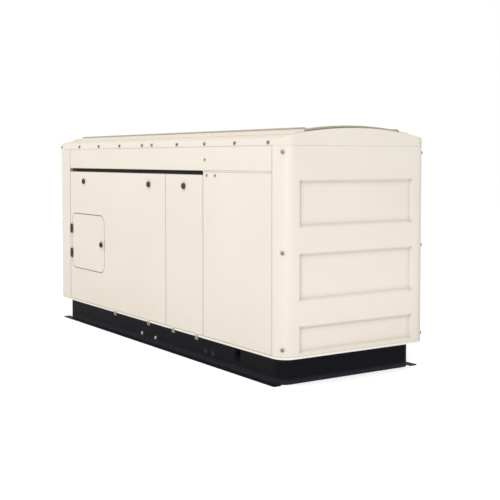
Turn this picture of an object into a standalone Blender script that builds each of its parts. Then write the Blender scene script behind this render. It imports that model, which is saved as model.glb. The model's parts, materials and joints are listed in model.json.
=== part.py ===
"""Home standby generator: a liquid-cooled engine and alternator on a steel base, in a sheet steel cabinet.

Metres, +Z up. The origin is on the floor under the middle of the set, +X runs towards the radiator end,
and -Y is the side with the service doors.
"""

import math

import bmesh
import bpy
from mathutils import Matrix, Vector

# Cabinet
CABINET_LENGTH = 2.488
CABINET_WIDTH = 0.860
OVERALL_HEIGHT = 1.168
ROOF_SEAM = OVERALL_HEIGHT - 0.093
CORNER_RADIUS = 0.070
SHEET = 0.002
FOLD_RADIUS = 0.004
PANEL_RETURN = 0.025
SEAM = 0.003
FIT = 0.0003
RUNNING_GAP = 0.0006
PROUD = 0.010
# How far a cutter runs past what it cuts, and the number of flats on the roof's crown
CUT_PAST = 0.010
CROWN_STEPS = 12

# Base
BASE_LENGTH = CABINET_LENGTH - 2 * 0.065
BASE_WIDTH = CABINET_WIDTH - 2 * 0.042
BASE_HEIGHT = 0.127
BASE_STEEL = 0.005
BASE_CORNER_RADIUS = 0.050
BASE_END_ARM = 0.010
FOOT_WIDTH = 0.040
TOP_FLANGE = 0.050
FORK_SLOT_X = 0.8235
FORK_SLOT_LENGTH = 0.045
FORK_SLOT_BOTTOM = 0.048
FORK_SLOT_HEIGHT = 0.060
CROSS_MEMBER_DEPTH = 0.095
CROSS_MEMBER_WIDTH = 0.160

# Sill and frame
SILL_HEIGHT = 0.010
SILL_WIDTH = 0.085
SILL_END_WIDTH = 0.105
POST_LEG = 0.050
POST_FACE = 0.080
POST_TOP = ROOF_SEAM - 0.020
FRAME_STEEL = 0.0025

# Front of the cabinet, left to right
LEFT_SEAM_X = -CABINET_LENGTH / 2 + 0.184
DOOR_SEAM_X = 0.187
FIXED_SEAM_X = 0.569
RIGHT_SEAM_X = CABINET_LENGTH / 2 - 0.078
SLOT_BOTTOM = ROOF_SEAM - 0.139
SLOT_HEIGHT = 0.020
LATCH_RAIL_HEIGHT = 0.038

# Lift-off door tabs
MAIN_TABS_X = (-0.426, -0.012)
NARROW_TABS_X = (0.265, 0.504)
TAB_WIDTH = 0.030
TAB_DROP = 0.028
TAB_NOTCH_DEPTH = 0.014
TAB_NOTCH_GAP = 0.004

# Quarter-turn latches
LATCH_HEIGHT_Z = SLOT_BOTTOM - 0.059
MAIN_LATCHES_X = (LEFT_SEAM_X + 0.209, 0.000)
NARROW_LATCH_X = 0.381
LATCH_HEAD_RADIUS = 0.015
LATCH_SHAFT_RADIUS = 0.006
CAM_LENGTH = 0.045
CAM_WIDTH = 0.016
CAM_THICKNESS = 0.004

# Access door over the controls
ACCESS_LEFT = LEFT_SEAM_X + 0.030
ACCESS_RIGHT = ACCESS_LEFT + 0.464
ACCESS_BOTTOM = 0.340
ACCESS_TOP = 0.675
ACCESS_RADIUS = 0.050
ACCESS_DEPTH = 0.012
ACCESS_LATCH_X = ACCESS_RIGHT - 0.040
ACCESS_LATCH_Z = 0.505
ACCESS_CAM_LENGTH = 0.055
HINGE_X = ACCESS_LEFT - 0.008
HINGES_Z = (0.580, 0.427)
HINGE_HEIGHT = 0.054
HINGE_WIDTH = 0.039
HINGE_LEAF = 0.003
KNUCKLE_RADIUS = 0.004
HINGE_PIN_RADIUS = 0.002

# Roof
CROWN_RADIUS = 1.956
SHOULDER_RADIUS = 0.040
CAP_HEIGHT = 0.012
CAP_WIDTH = CABINET_WIDTH - 2 * 0.085
CAP_LENGTH = CABINET_LENGTH - 2 * 0.044
ROOF_SPLIT_X = -0.020
ROOF_SPLIT_GAP = 0.001
DISCHARGE_X = (0.740, 1.120)
DISCHARGE_WIDTH = 0.460
GRILLE_RIM = 0.030
GRILLE_THICKNESS = 0.008
GRILLE_SLOT = 0.014
GRILLE_PITCH = 0.026

# Pressed fields of the right end panel, and slots of the left one
EMBOSS_WIDTH = 0.673
EMBOSS_DEPTH = 0.009
EMBOSS_SLOPE = 0.014
EMBOSS_Z = ((0.147, 0.273), (0.381, 0.598), (0.709, ROOF_SEAM - 0.152))
INTAKE_WIDTH = 0.560
INTAKE_BOTTOM = 0.260
INTAKE_PITCH = 0.054
INTAKE_ROWS = int((ROOF_SEAM - 0.149 - INTAKE_BOTTOM) / INTAKE_PITCH) + 1
INTAKE_SLOT = 0.018

# Rear panels
REAR_FIELD_BOTTOM = ROOF_SEAM - 0.405
REAR_FIELD_MARGIN = 0.060

# Engine and alternator
SHAFT_Z = 0.420
SHAFT_RADIUS = 0.030
FAN_Z = 0.580
BLOCK_X = (-0.310, 0.250)
BLOCK_WIDTH = 0.300
BLOCK_BOTTOM = 0.330
BLOCK_TOP = 0.620
PUMP_BOSS_RADIUS = 0.038
PUMP_BOSS_LENGTH = 0.060
ENGINE_FOOT_X = 0.020
ENGINE_FOOT_Y = 0.205
ENGINE_FOOT_LENGTH = 0.120
ENGINE_FOOT_WIDTH = 0.110
ENGINE_BRACKET_TOP = 0.370
PAN_WIDTH = 0.220
PAN_BOTTOM = 0.200
PAN_MARGIN = 0.030
HEAD_WIDTH = 0.220
HEAD_HEIGHT = 0.100
ROCKER_WIDTH = 0.160
ROCKER_HEIGHT = 0.070
HEAD_MARGIN = 0.020
CASTING_ROUND = 0.014
BELL_LENGTH = 0.060
BELL_RADIUS = 0.190
BELL_WALL = 0.040
FLYWHEEL_RADIUS = 0.140
FLYWHEEL_X = (-0.358, -0.326)
STATOR_RADIUS = 0.180
STATOR_LENGTH = 0.430
STATOR_BORE = 0.135
END_BELL_LENGTH = 0.060
ROTOR_RADIUS = 0.130
ROTOR_X = (-0.770, -0.400)
ALTERNATOR_FOOT_X = -0.780
ALTERNATOR_FOOT_Y = 0.100
ALTERNATOR_FOOT_LENGTH = 0.120
ALTERNATOR_FOOT_WIDTH = 0.100
ISOLATOR_RADIUS = 0.035
ISOLATOR_HEIGHT = 0.055
CRANK_PULLEY_RADIUS = 0.070
FAN_PULLEY_RADIUS = 0.050
PULLEY_X = (0.317, 0.343)
BELT_WIDTH = 0.016
BELT_THICKNESS = 0.008
NOSE_END_X = 0.350
FAN_SHAFT_RADIUS = 0.014
FAN_HUB_RADIUS = 0.060
FAN_HUB_X = (0.425, 0.470)
FAN_RADIUS = 0.215
FAN_BLADES = 7
FAN_BLADE_CHORD = 0.080
FAN_BLADE_THICKNESS = 0.004
FAN_BLADE_PITCH = 32.0
SHROUD_DEPTH = 0.100
SHROUD_GAP = 0.020

# Radiator and bulkhead
BULKHEAD_X = 0.600
BULKHEAD_FLANGE = 0.055
RADIATOR_DEPTH = 0.050
RADIATOR_WIDTH = 0.600
RADIATOR_BOTTOM = 0.250
RADIATOR_TOP = 0.900
RADIATOR_SEAT = 0.030
TANK_HEIGHT = 0.060
TANK_DEPTH = 0.012

# Exhaust and intake
EXHAUST_Y = 0.140
EXHAUST_Z = ROOF_SEAM - 0.105
EXHAUST_RADIUS = 0.026
EXHAUST_BEND = 0.080
EXHAUST_OUTLET_X = 0.100
BULKHEAD_HOLE_RADIUS = 0.045
MUFFLER_X = (0.700, 1.130)
MUFFLER_RADIUS = 0.085
MUFFLER_CONE = 0.045
MANIFOLD_WIDTH = 0.060
MANIFOLD_Z = (0.640, 0.700)
MANIFOLD_X = (-0.250, 0.190)
CLEANER_X = (-0.330, -0.050)
CLEANER_Y = -0.190
CLEANER_Z = 0.810
CLEANER_RADIUS = 0.070
INTAKE_PIPE_RADIUS = 0.025
INTAKE_PIPE_X = 0.030
INTAKE_PORT_Z = 0.665
INTAKE_BEND = 0.045

# Battery and controls
BATTERY_SIZE = (0.260, 0.170, 0.200)
BATTERY_X = -0.850
BATTERY_Y = -0.245
CONTROL_BOX_WIDTH = 0.440
CONTROL_BOX_DEPTH = 0.165
CONTROL_BOX_Z = (0.355, 0.660)
CONTROL_FACE_Y = -0.370
CONTROLLER_X = (LEFT_SEAM_X + 0.075, LEFT_SEAM_X + 0.295)
CONTROLLER_Z = (0.480, 0.630)
CONTROLLER_DEPTH = 0.014
STOP_BUTTON_X = LEFT_SEAM_X + 0.370
STOP_BUTTON_Z = 0.580
STOP_BUTTON_RADIUS = 0.020
STOP_BUTTON_STEM = 0.008
STOP_BUTTON_TRAVEL = 0.006
STOP_BUTTON_HEAD = 0.010
BREAKER_X = (LEFT_SEAM_X + 0.110, LEFT_SEAM_X + 0.220)
BREAKER_Z = (0.370, 0.460)
BREAKER_DEPTH = 0.014
BREAKER_HANDLE_WIDTH = 0.020
BREAKER_HANDLE_REACH = 0.020
BREAKER_PIVOT_RADIUS = 0.008

# Worked out from the sizes above
HALF_LENGTH = CABINET_LENGTH / 2
HALF_WIDTH = CABINET_WIDTH / 2
SILL_TOP = BASE_HEIGHT + FIT + SILL_HEIGHT
PANEL_BOTTOM = SILL_TOP + FIT
PANEL_TOP = ROOF_SEAM - FIT
SLOT_TOP = SLOT_BOTTOM + SLOT_HEIGHT
FRAME_FACE = HALF_WIDTH - PANEL_RETURN - FIT
ROOF_CREST = OVERALL_HEIGHT - CAP_HEIGHT
CROSS_TOP = BASE_HEIGHT - BASE_STEEL - FIT
FOOT_Z = CROSS_TOP + FIT + ISOLATOR_HEIGHT + FIT

# One matrix for each axis that an outline is drawn out along: outline x and y go to the other two axes.
DRAWN_ALONG = {
    "x": Matrix(((0, 0, 1), (1, 0, 0), (0, 1, 0))).to_4x4(),
    "y": Matrix(((1, 0, 0), (0, 0, -1), (0, 1, 0))).to_4x4(),
    "z": Matrix.Identity(4),
}

for leftover in list(bpy.data.objects):
    bpy.data.objects.remove(leftover)


def new_collection(name):
    made = bpy.data.collections.new(name)
    bpy.context.scene.collection.children.link(made)
    return made


PARTS = new_collection("home_standby_generator")
CUTTERS = new_collection("cutters")
CUTTERS.hide_render = True


def finish(name, colour, roughness, metallic=0.0):
    """A plain surface: sRGB colour from 0 to 255, roughness and metallic value."""
    made = bpy.data.materials.new(name)
    made.use_nodes = True
    shader = made.node_tree.nodes["Principled BSDF"]
    shader.inputs["Base Color"].default_value = (*[(level / 255) ** 2.2 for level in colour], 1.0)
    shader.inputs["Roughness"].default_value = roughness
    shader.inputs["Metallic"].default_value = metallic
    return made


CREAM_PAINT = finish("cream_powder_coat", (238, 230, 216), 0.45)
BLACK_PAINT = finish("black_chassis_paint", (24, 25, 30), 0.40)
BLACK_PLASTIC = finish("black_nylon", (38, 33, 30), 0.45)
GALVANISED = finish("galvanised_steel", (168, 172, 174), 0.45, 0.9)
CAST_IRON = finish("painted_cast_iron", (62, 66, 70), 0.60, 0.3)
ALUMINIUM = finish("cast_aluminium", (176, 178, 180), 0.50, 0.9)
STEEL = finish("machined_steel", (150, 150, 152), 0.35, 1.0)
ALUMINISED = finish("aluminised_steel", (158, 156, 150), 0.50, 0.9)
RUBBER = finish("black_rubber", (26, 26, 27), 0.80)
BATTERY_CASE = finish("black_polypropylene", (34, 34, 36), 0.55)
CONTROL_GREY = finish("grey_painted_steel", (96, 99, 102), 0.50)
STOP_RED = finish("red_plastic", (196, 30, 28), 0.35)


def add(name, mesh, matrix, material):
    """A part where a material is given, and a hidden cutter where it isn't."""
    made = bpy.data.objects.new(name, mesh)
    made.matrix_world = matrix
    if material:
        mesh.materials.append(material)
        PARTS.objects.link(made)
    else:
        made.hide_render = True
        made.display_type = "WIRE"
        CUTTERS.objects.link(made)
    return made


def block(name, size, matrix, material=None):
    """A box of the given size about its own middle."""
    mesh = bpy.data.meshes.new(name)
    shape = bmesh.new()
    bmesh.ops.create_cube(shape, size=1.0)
    bmesh.ops.scale(shape, vec=size, verts=shape.verts)
    shape.to_mesh(mesh)
    shape.free()
    return add(name, mesh, matrix, material)


def box(name, low, high, material=None):
    low, high = Vector(low), Vector(high)
    return block(name, high - low, Matrix.Translation((low + high) / 2), material)


def boxes(name, corners):
    """One cutter that holds a box for each (low, high) pair."""
    mesh = bpy.data.meshes.new(name)
    shape = bmesh.new()
    for low, high in corners:
        low, high = Vector(low), Vector(high)
        size = Matrix.Diagonal((*(high - low), 1.0))
        bmesh.ops.create_cube(shape, size=1.0, matrix=Matrix.Translation((low + high) / 2) @ size)
    shape.to_mesh(mesh)
    shape.free()
    return add(name, mesh, Matrix.Identity(4), None)


def tapered_box(name, low, high, slope):
    """A cutter or filler whose -X face is smaller than its +X face by the slope all round."""
    made = box(name, low, high)
    size = Vector(high) - Vector(low)
    for vertex in made.data.vertices:
        if vertex.co.x < 0:
            vertex.co.y *= 1 - 2 * slope / size.y
            vertex.co.z *= 1 - 2 * slope / size.z
    return made


def drawn(name, outlines, axis, start, end, material=None):
    """Flat closed outlines, the first outside and any others as holes, drawn out from start to end."""
    curve = bpy.data.curves.new(name, "CURVE")
    curve.dimensions = "2D"
    curve.fill_mode = "BOTH"
    curve.extrude = (end - start) / 2
    for outline in outlines:
        spline = curve.splines.new("POLY")
        spline.points.add(len(outline) - 1)
        for point, place in zip(spline.points, outline):
            point.co = (*place, 0.0, 1.0)
        spline.use_cyclic_u = True
    middle = Vector({"x": (1, 0, 0), "y": (0, 1, 0), "z": (0, 0, 1)}[axis]) * (start + end) / 2
    return add(name, mesh_from(curve), Matrix.Translation(middle) @ DRAWN_ALONG[axis], material)


def mesh_from(curve):
    """The closed mesh of a curve, with its caps welded on."""
    holder = bpy.data.objects.new("outline", curve)
    CUTTERS.objects.link(holder)
    bpy.context.view_layer.update()
    graph = bpy.context.evaluated_depsgraph_get()
    mesh = bpy.data.meshes.new_from_object(holder.evaluated_get(graph))
    bpy.data.objects.remove(holder)
    shape = bmesh.new()
    shape.from_mesh(mesh)
    bmesh.ops.remove_doubles(shape, verts=shape.verts, dist=1e-5)
    bmesh.ops.dissolve_degenerate(shape, edges=shape.edges, dist=1e-6)
    bmesh.ops.recalc_face_normals(shape, faces=shape.faces)
    shape.to_mesh(mesh)
    shape.free()
    mesh.materials.clear()
    return mesh


def turned(name, profile, place, axis, material=None, ring=False, steps=28):
    """A turned piece. The profile is (radius, distance along the axis), down its outer side."""
    mesh = bpy.data.meshes.new(name)
    count = len(profile)
    edges = [(i, i + 1) for i in range(count - 1)]
    if ring:
        edges.append((count - 1, 0))
    mesh.from_pydata([(radius, 0.0, along) for radius, along in profile], edges, [])
    made = add(name, mesh, Matrix.Translation(place) @ DRAWN_ALONG[axis], material)
    screw = made.modifiers.new("turn", "SCREW")
    screw.steps = steps
    screw.render_steps = steps
    screw.use_merge_vertices = True
    screw.merge_threshold = 1e-5
    screw.use_smooth_shade = True
    return made


def rod(name, radius, start, end, place, axis, material=None, steps=20):
    """A plain cylinder from start to end along its axis, measured from place."""
    profile = [(0.0, end), (radius, end), (radius, start), (0.0, start)]
    return turned(name, profile, place, axis, material, steps=steps)


def tube(name, corners, radius, bend, material):
    """A round pipe through the corners, each one turned at the bend radius."""
    corners = [Vector(corner) for corner in corners]
    path = [corners[0]]
    for before, corner, after in zip(corners, corners[1:], corners[2:]):
        into, out = (corner - before).normalized(), (after - corner).normalized()
        half_turn = into.angle(out) / 2
        reach = bend * math.tan(half_turn)
        centre = corner + (out - into).normalized() * bend / math.cos(half_turn)
        first = corner - into * reach - centre
        last = corner + out * reach - centre
        steps = 6
        path += [centre + first.slerp(last, i / steps) * bend for i in range(steps + 1)]
    path.append(corners[-1])
    curve = bpy.data.curves.new(name, "CURVE")
    curve.dimensions = "3D"
    curve.bevel_depth = radius
    curve.bevel_resolution = 4
    curve.use_fill_caps = True
    spline = curve.splines.new("POLY")
    spline.points.add(len(path) - 1)
    for point, place in zip(spline.points, path):
        point.co = (*place, 1.0)
    return add(name, mesh_from(curve), Matrix.Identity(4), material)


def change(piece, operation, other):
    step = piece.modifiers.new(other.name, "BOOLEAN")
    step.operation = operation
    step.object = other


def cut(piece, other):
    change(piece, "DIFFERENCE", other)


def join(piece, other):
    change(piece, "UNION", other)


def rounded(piece, width, segments=2, angle=50.0):
    """Rounds every edge sharper than the angle."""
    bevel = piece.modifiers.new("round", "BEVEL")
    bevel.width = width
    bevel.segments = segments
    bevel.limit_method = "ANGLE"
    bevel.angle_limit = math.radians(angle)
    return piece


def tray(name, low, high, open_side, material, wall=SHEET, fold=FOLD_RADIUS):
    """A folded sheet panel: a box of sheet with rounded folds and one side left open."""
    made = box(name, low, high, material)
    shape = bmesh.new()
    shape.from_mesh(made.data)
    outward = Vector(open_side)
    gone = [face for face in shape.faces if face.normal.dot(outward) > 0.9]
    bmesh.ops.delete(shape, geom=gone, context="FACES_ONLY")
    shape.to_mesh(made.data)
    shape.free()
    rounded(made, fold)
    sheet = made.modifiers.new("sheet", "SOLIDIFY")
    sheet.thickness = wall
    sheet.offset = -1.0
    sheet.use_even_offset = True
    return made


def arc(centre, radius, start, end, steps):
    """Points on an arc, from the start angle to the end angle, in degrees."""
    points = []
    for i in range(steps + 1):
        angle = math.radians(start + (end - start) * i / steps)
        points.append((centre[0] + radius * math.cos(angle), centre[1] + radius * math.sin(angle)))
    return points


def rounded_rectangle(left, right, bottom, top, radius, steps=6):
    points = []
    for x, y, start in (
        (right - radius, bottom + radius, -90),
        (right - radius, top - radius, 0),
        (left + radius, top - radius, 90),
        (left + radius, bottom + radius, 180),
    ):
        points += arc((x, y), radius, start, start + 90, steps)
    return points


def rectangle(left, right, bottom, top):
    return [(left, bottom), (right, bottom), (right, top), (left, top)]


def folded(path, thickness):
    """The outline of a folded sheet: the path, and the path again one thickness to its left."""
    path = [Vector(point) for point in path]
    runs = [(after - before).normalized() for before, after in zip(path, path[1:])]
    sides = [Vector((-run.y, run.x)) for run in runs]
    offsets = [sides[0]]
    for first, second in zip(sides, sides[1:]):
        offsets.append((first + second) / (1 + first.dot(second)))
    offsets.append(sides[-1])
    inner = [point + offset * thickness for point, offset in zip(path, offsets)]
    return [tuple(point) for point in path + inner[::-1]]


def mirrored(outline, first, second):
    return [(u * first, v * second) for u, v in outline]


def base_rail(name, side):
    """A long side of the base: a foot flange outwards, a web and a top flange inwards."""
    web = BASE_WIDTH / 2 - BASE_STEEL
    path = [
        (-web - BASE_STEEL - FOOT_WIDTH, 0.0),
        (-web, 0.0),
        (-web, BASE_HEIGHT - BASE_STEEL),
        (-web + TOP_FLANGE, BASE_HEIGHT - BASE_STEEL),
    ]
    straight = BASE_LENGTH / 2 - BASE_CORNER_RADIUS - BASE_END_ARM - FIT
    section = mirrored(folded(path, BASE_STEEL), side, 1)
    rail = drawn(name, [section], "x", -straight, straight, BLACK_PAINT)
    near, far = web + BASE_STEEL + FIT, web + BASE_STEEL + FOOT_WIDTH
    low_y, high_y = sorted((-side * near, -side * far))
    for end in (-1, 1):
        low_x, high_x = sorted((end * (straight - FOOT_WIDTH), end * BASE_LENGTH / 2))
        foot = box(f"{name}_foot_{end}", (low_x, low_y, 0.0), (high_x, high_y, BASE_STEEL))
        join(rail, foot)
    return rail


def base_end(name, end):
    """A bent plate that closes one end of the base, with round vertical corners."""
    x, y = BASE_LENGTH / 2, BASE_WIDTH / 2
    radius = BASE_CORNER_RADIUS
    arm_end = x - radius - BASE_END_ARM
    path = [(arm_end, -y)]
    path += arc((x - radius, -y + radius), radius, -90, 0, 6)
    path += arc((x - radius, y - radius), radius, 0, 90, 6)
    path.append((arm_end, y))
    outline = mirrored(folded(path, BASE_STEEL), end, 1)
    drawn(name, [outline], "z", 0.0, BASE_HEIGHT, BLACK_PAINT)


def base():
    front = base_rail("base_rail_front", 1)
    base_rail("base_rail_rear", -1)
    web, half = -BASE_WIDTH / 2, FORK_SLOT_LENGTH / 2
    slot_low = (FORK_SLOT_X - half, web - CUT_PAST, FORK_SLOT_BOTTOM)
    slot_high = (FORK_SLOT_X + half, web + 2 * CUT_PAST, FORK_SLOT_BOTTOM + FORK_SLOT_HEIGHT)
    cut(front, box("fork_slot", slot_low, slot_high))
    base_end("base_end_right", 1)
    base_end("base_end_left", -1)
    reach = BASE_WIDTH / 2 - BASE_STEEL - FIT
    for name, x in (("cross_member_left", ALTERNATOR_FOOT_X), ("cross_member_right", ENGINE_FOOT_X)):
        half = CROSS_MEMBER_WIDTH / 2
        low = CROSS_TOP - CROSS_MEMBER_DEPTH
        path = [(x + half, low), (x + half, CROSS_TOP), (x - half, CROSS_TOP), (x - half, low)]
        drawn(name, [folded(path, BASE_STEEL)], "y", -reach, reach, BLACK_PAINT)


def sill_frame():
    """The flat ring that the cabinet stands on, notched for the door tabs."""
    outer = rounded_rectangle(-HALF_LENGTH, HALF_LENGTH, -HALF_WIDTH, HALF_WIDTH, CORNER_RADIUS)
    inner_x, inner_y = HALF_LENGTH - SILL_END_WIDTH, HALF_WIDTH - SILL_WIDTH
    inner = rectangle(-inner_x, inner_x, -inner_y, inner_y)
    sill = drawn("sill_frame", [outer, inner], "z", BASE_HEIGHT + FIT, SILL_TOP, CREAM_PAINT)
    half = TAB_WIDTH / 2 + TAB_NOTCH_GAP
    outside, back = -HALF_WIDTH - CUT_PAST, -HALF_WIDTH + TAB_NOTCH_DEPTH
    notches = []
    for x in MAIN_TABS_X + NARROW_TABS_X:
        notches.append(((x - half, outside, BASE_HEIGHT), (x + half, back, SILL_TOP + CUT_PAST)))
    cut(sill, boxes("tab_notches", notches))


def corner_posts():
    """Four angle posts behind the seams at the ends of the long sides."""
    for side_name, side in (("front", -1), ("rear", 1)):
        for end_name, end, seam in (("left", -1, -LEFT_SEAM_X), ("right", 1, RIGHT_SEAM_X)):
            inner, outer = seam - POST_FACE / 2, seam + POST_FACE / 2
            path = [(outer, FRAME_FACE), (inner, FRAME_FACE), (inner, FRAME_FACE - POST_LEG)]
            outline = mirrored(folded(path, FRAME_STEEL), end, side)
            name = f"corner_post_{side_name}_{end_name}"
            drawn(name, [outline], "z", PANEL_BOTTOM, POST_TOP, GALVANISED)


def latch_rail():
    """The angle that the tops of the lift-off doors close against, and that their cams hook behind."""
    left = LEFT_SEAM_X + POST_FACE / 2 + FIT
    right = BULKHEAD_X - BULKHEAD_FLANGE - FIT
    top = SLOT_BOTTOM - SEAM
    path = [
        (-FRAME_FACE + POST_LEG, top),
        (-FRAME_FACE, top),
        (-FRAME_FACE, top - LATCH_RAIL_HEIGHT),
    ]
    drawn("latch_rail_front", [folded(path, FRAME_STEEL)], "x", left, right, GALVANISED)


def bulkhead():
    """The cross wall between the engine room and the discharge space, with the radiator window."""
    near = BULKHEAD_X - BULKHEAD_FLANGE
    path = [
        (near, FRAME_FACE),
        (BULKHEAD_X + FIT + FRAME_STEEL, FRAME_FACE),
        (BULKHEAD_X + FIT + FRAME_STEEL, -FRAME_FACE),
        (near, -FRAME_FACE),
    ]
    outline = folded(path, -FRAME_STEEL)
    wall = drawn("bulkhead", [outline], "z", PANEL_BOTTOM, POST_TOP, GALVANISED)
    half = RADIATOR_WIDTH / 2 - RADIATOR_SEAT
    window = box(
        "radiator_window",
        (BULKHEAD_X - 0.02, -half, RADIATOR_BOTTOM + RADIATOR_SEAT),
        (BULKHEAD_X + 0.02, half, RADIATOR_TOP - RADIATOR_SEAT),
    )
    cut(wall, window)
    place = (BULKHEAD_X, EXHAUST_Y, EXHAUST_Z)
    cut(wall, rod("exhaust_hole", BULKHEAD_HOLE_RADIUS, -2 * CUT_PAST, 2 * CUT_PAST, place, "x"))


def front_tray(name, left, right, bottom, top):
    low = (left, -HALF_WIDTH, bottom)
    high = (right, -HALF_WIDTH + PANEL_RETURN, top)
    return tray(name, low, high, (0, 1, 0), CREAM_PAINT)


def latch_hole(panel, x, z):
    place = (x, -HALF_WIDTH, z)
    radius = LATCH_SHAFT_RADIUS + RUNNING_GAP
    cut(panel, rod(f"{panel.name}_hole_{x}", radius, -2 * CUT_PAST, 2 * CUT_PAST, place, "y"))


def door_tabs(panel, places):
    """Tabs below the bottom edge, which drop through the sill's notches."""
    for x in places:
        low = (x - TAB_WIDTH / 2, -HALF_WIDTH, PANEL_BOTTOM - TAB_DROP)
        high = (x + TAB_WIDTH / 2, -HALF_WIDTH + SHEET, PANEL_BOTTOM + PANEL_RETURN)
        join(panel, box(f"{panel.name}_tab_{x}", low, high))


def front_panels():
    half_seam = SEAM / 2
    front_tray("header_front", LEFT_SEAM_X + half_seam, RIGHT_SEAM_X - half_seam, SLOT_TOP, PANEL_TOP)
    fixed_left = FIXED_SEAM_X + half_seam
    fixed_right = RIGHT_SEAM_X - half_seam
    front_tray("fixed_panel_front", fixed_left, fixed_right, PANEL_BOTTOM, SLOT_TOP - SEAM)

    main = front_tray(
        "door_main", LEFT_SEAM_X + half_seam, DOOR_SEAM_X - half_seam, PANEL_BOTTOM, SLOT_BOTTOM
    )
    door_tabs(main, MAIN_TABS_X)
    for x in MAIN_LATCHES_X:
        latch_hole(main, x, LATCH_HEIGHT_Z)
    outline = rounded_rectangle(
        ACCESS_LEFT - SEAM,
        ACCESS_RIGHT + SEAM,
        ACCESS_BOTTOM - SEAM,
        ACCESS_TOP + SEAM,
        ACCESS_RADIUS + SEAM,
    )
    cut(main, drawn("access_opening", [outline], "y", -HALF_WIDTH - CUT_PAST, -HALF_WIDTH + CUT_PAST))

    narrow = front_tray(
        "door_narrow", DOOR_SEAM_X + half_seam, FIXED_SEAM_X - half_seam, PANEL_BOTTOM, SLOT_BOTTOM
    )
    door_tabs(narrow, NARROW_TABS_X)
    latch_hole(narrow, NARROW_LATCH_X, LATCH_HEIGHT_Z)


def access_door():
    """A pan with round corners, flush in its opening in the main door."""
    front = -HALF_WIDTH
    outline = rounded_rectangle(ACCESS_LEFT, ACCESS_RIGHT, ACCESS_BOTTOM, ACCESS_TOP, ACCESS_RADIUS)
    door = drawn("access_door", [outline], "y", front, front + ACCESS_DEPTH, CREAM_PAINT)
    hollow = rounded_rectangle(
        ACCESS_LEFT + SHEET,
        ACCESS_RIGHT - SHEET,
        ACCESS_BOTTOM + SHEET,
        ACCESS_TOP - SHEET,
        ACCESS_RADIUS - SHEET,
    )
    cut(door, drawn("access_hollow", [hollow], "y", front + SHEET, front + ACCESS_DEPTH + CUT_PAST))
    latch_hole(door, ACCESS_LATCH_X, ACCESS_LATCH_Z)


def hinge(name, z):
    """Two leaves on the outside of the door, one knuckle at each end on the fixed leaf with its pin."""
    skin = -HALF_WIDTH - FIT
    axis_y = skin - KNUCKLE_RADIUS
    place = (HINGE_X, axis_y, z)
    half = HINGE_HEIGHT / 2
    knuckle = HINGE_HEIGHT / 4
    edge = HINGE_WIDTH / 2

    fixed_low = (HINGE_X - edge, skin - HINGE_LEAF, z - half)
    fixed = box(f"{name}_fixed", fixed_low, (HINGE_X, skin, z + half), BLACK_PLASTIC)
    for low, high, part in ((-half, -knuckle, "low"), (knuckle, half, "high")):
        join(fixed, rod(f"{name}_knuckle_{part}", KNUCKLE_RADIUS, low, high, place, "z"))
    gap_low = (HINGE_X - KNUCKLE_RADIUS - RUNNING_GAP, skin - CUT_PAST, z - knuckle - RUNNING_GAP)
    gap_high = (HINGE_X + CUT_PAST, skin + CUT_PAST, z + knuckle + RUNNING_GAP)
    cut(fixed, box(f"{name}_gap", gap_low, gap_high))
    pin_half = knuckle + HINGE_PIN_RADIUS
    join(fixed, rod(f"{name}_pin", HINGE_PIN_RADIUS, -pin_half, pin_half, place, "z", steps=14))

    moving = box(
        f"{name}_moving",
        (HINGE_X + KNUCKLE_RADIUS + RUNNING_GAP, skin - HINGE_LEAF, z - half),
        (HINGE_X + edge, skin, z + half),
        BLACK_PLASTIC,
    )
    link_low = (HINGE_X, skin - HINGE_LEAF, z - knuckle)
    link_high = (HINGE_X + KNUCKLE_RADIUS + HINGE_LEAF, skin, z + knuckle)
    join(moving, box(f"{name}_link", link_low, link_high))
    join(moving, rod(f"{name}_knuckle_mid", KNUCKLE_RADIUS, -knuckle, knuckle, place, "z"))
    bore = HINGE_PIN_RADIUS + RUNNING_GAP
    cut(moving, rod(f"{name}_bore", bore, -half, half, place, "z", steps=14))


def latch(name, x, z, cam_start, cam_length, direction):
    """A quarter-turn latch: a round head outside, a shaft through the panel and a cam behind it."""
    head_back = FIT
    depth = cam_start + CAM_THICKNESS
    profile = [
        (0.0, PROUD),
        (LATCH_HEAD_RADIUS - 0.003, PROUD),
        (LATCH_HEAD_RADIUS, PROUD - 0.003),
        (LATCH_HEAD_RADIUS, head_back),
        (LATCH_SHAFT_RADIUS, head_back),
        (LATCH_SHAFT_RADIUS, -depth),
        (0.0, -depth),
    ]
    made = turned(name, profile, (x, -HALF_WIDTH, z), "y", BLACK_PLASTIC, steps=24)
    along, up = direction
    half = CAM_WIDTH / 2
    ends = [(x - half, z - half), (x + half, z + half), (x + along * cam_length, z + up * cam_length)]
    low = (min(end[0] for end in ends), -HALF_WIDTH + cam_start, min(end[1] for end in ends))
    high = (max(end[0] for end in ends), -HALF_WIDTH + depth, max(end[1] for end in ends))
    join(made, box(f"{name}_cam", low, high))


def latches():
    behind_rail = PANEL_RETURN + FIT + FRAME_STEEL + RUNNING_GAP
    for name, x in (
        ("latch_main_left", MAIN_LATCHES_X[0]),
        ("latch_main_right", MAIN_LATCHES_X[1]),
        ("latch_narrow", NARROW_LATCH_X),
    ):
        latch(name, x, LATCH_HEIGHT_Z, behind_rail, CAM_LENGTH, (1, 0))
    behind_door = ACCESS_DEPTH + RUNNING_GAP
    latch("access_latch", ACCESS_LATCH_X, ACCESS_LATCH_Z, behind_door, ACCESS_CAM_LENGTH, (0, 1))


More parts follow.
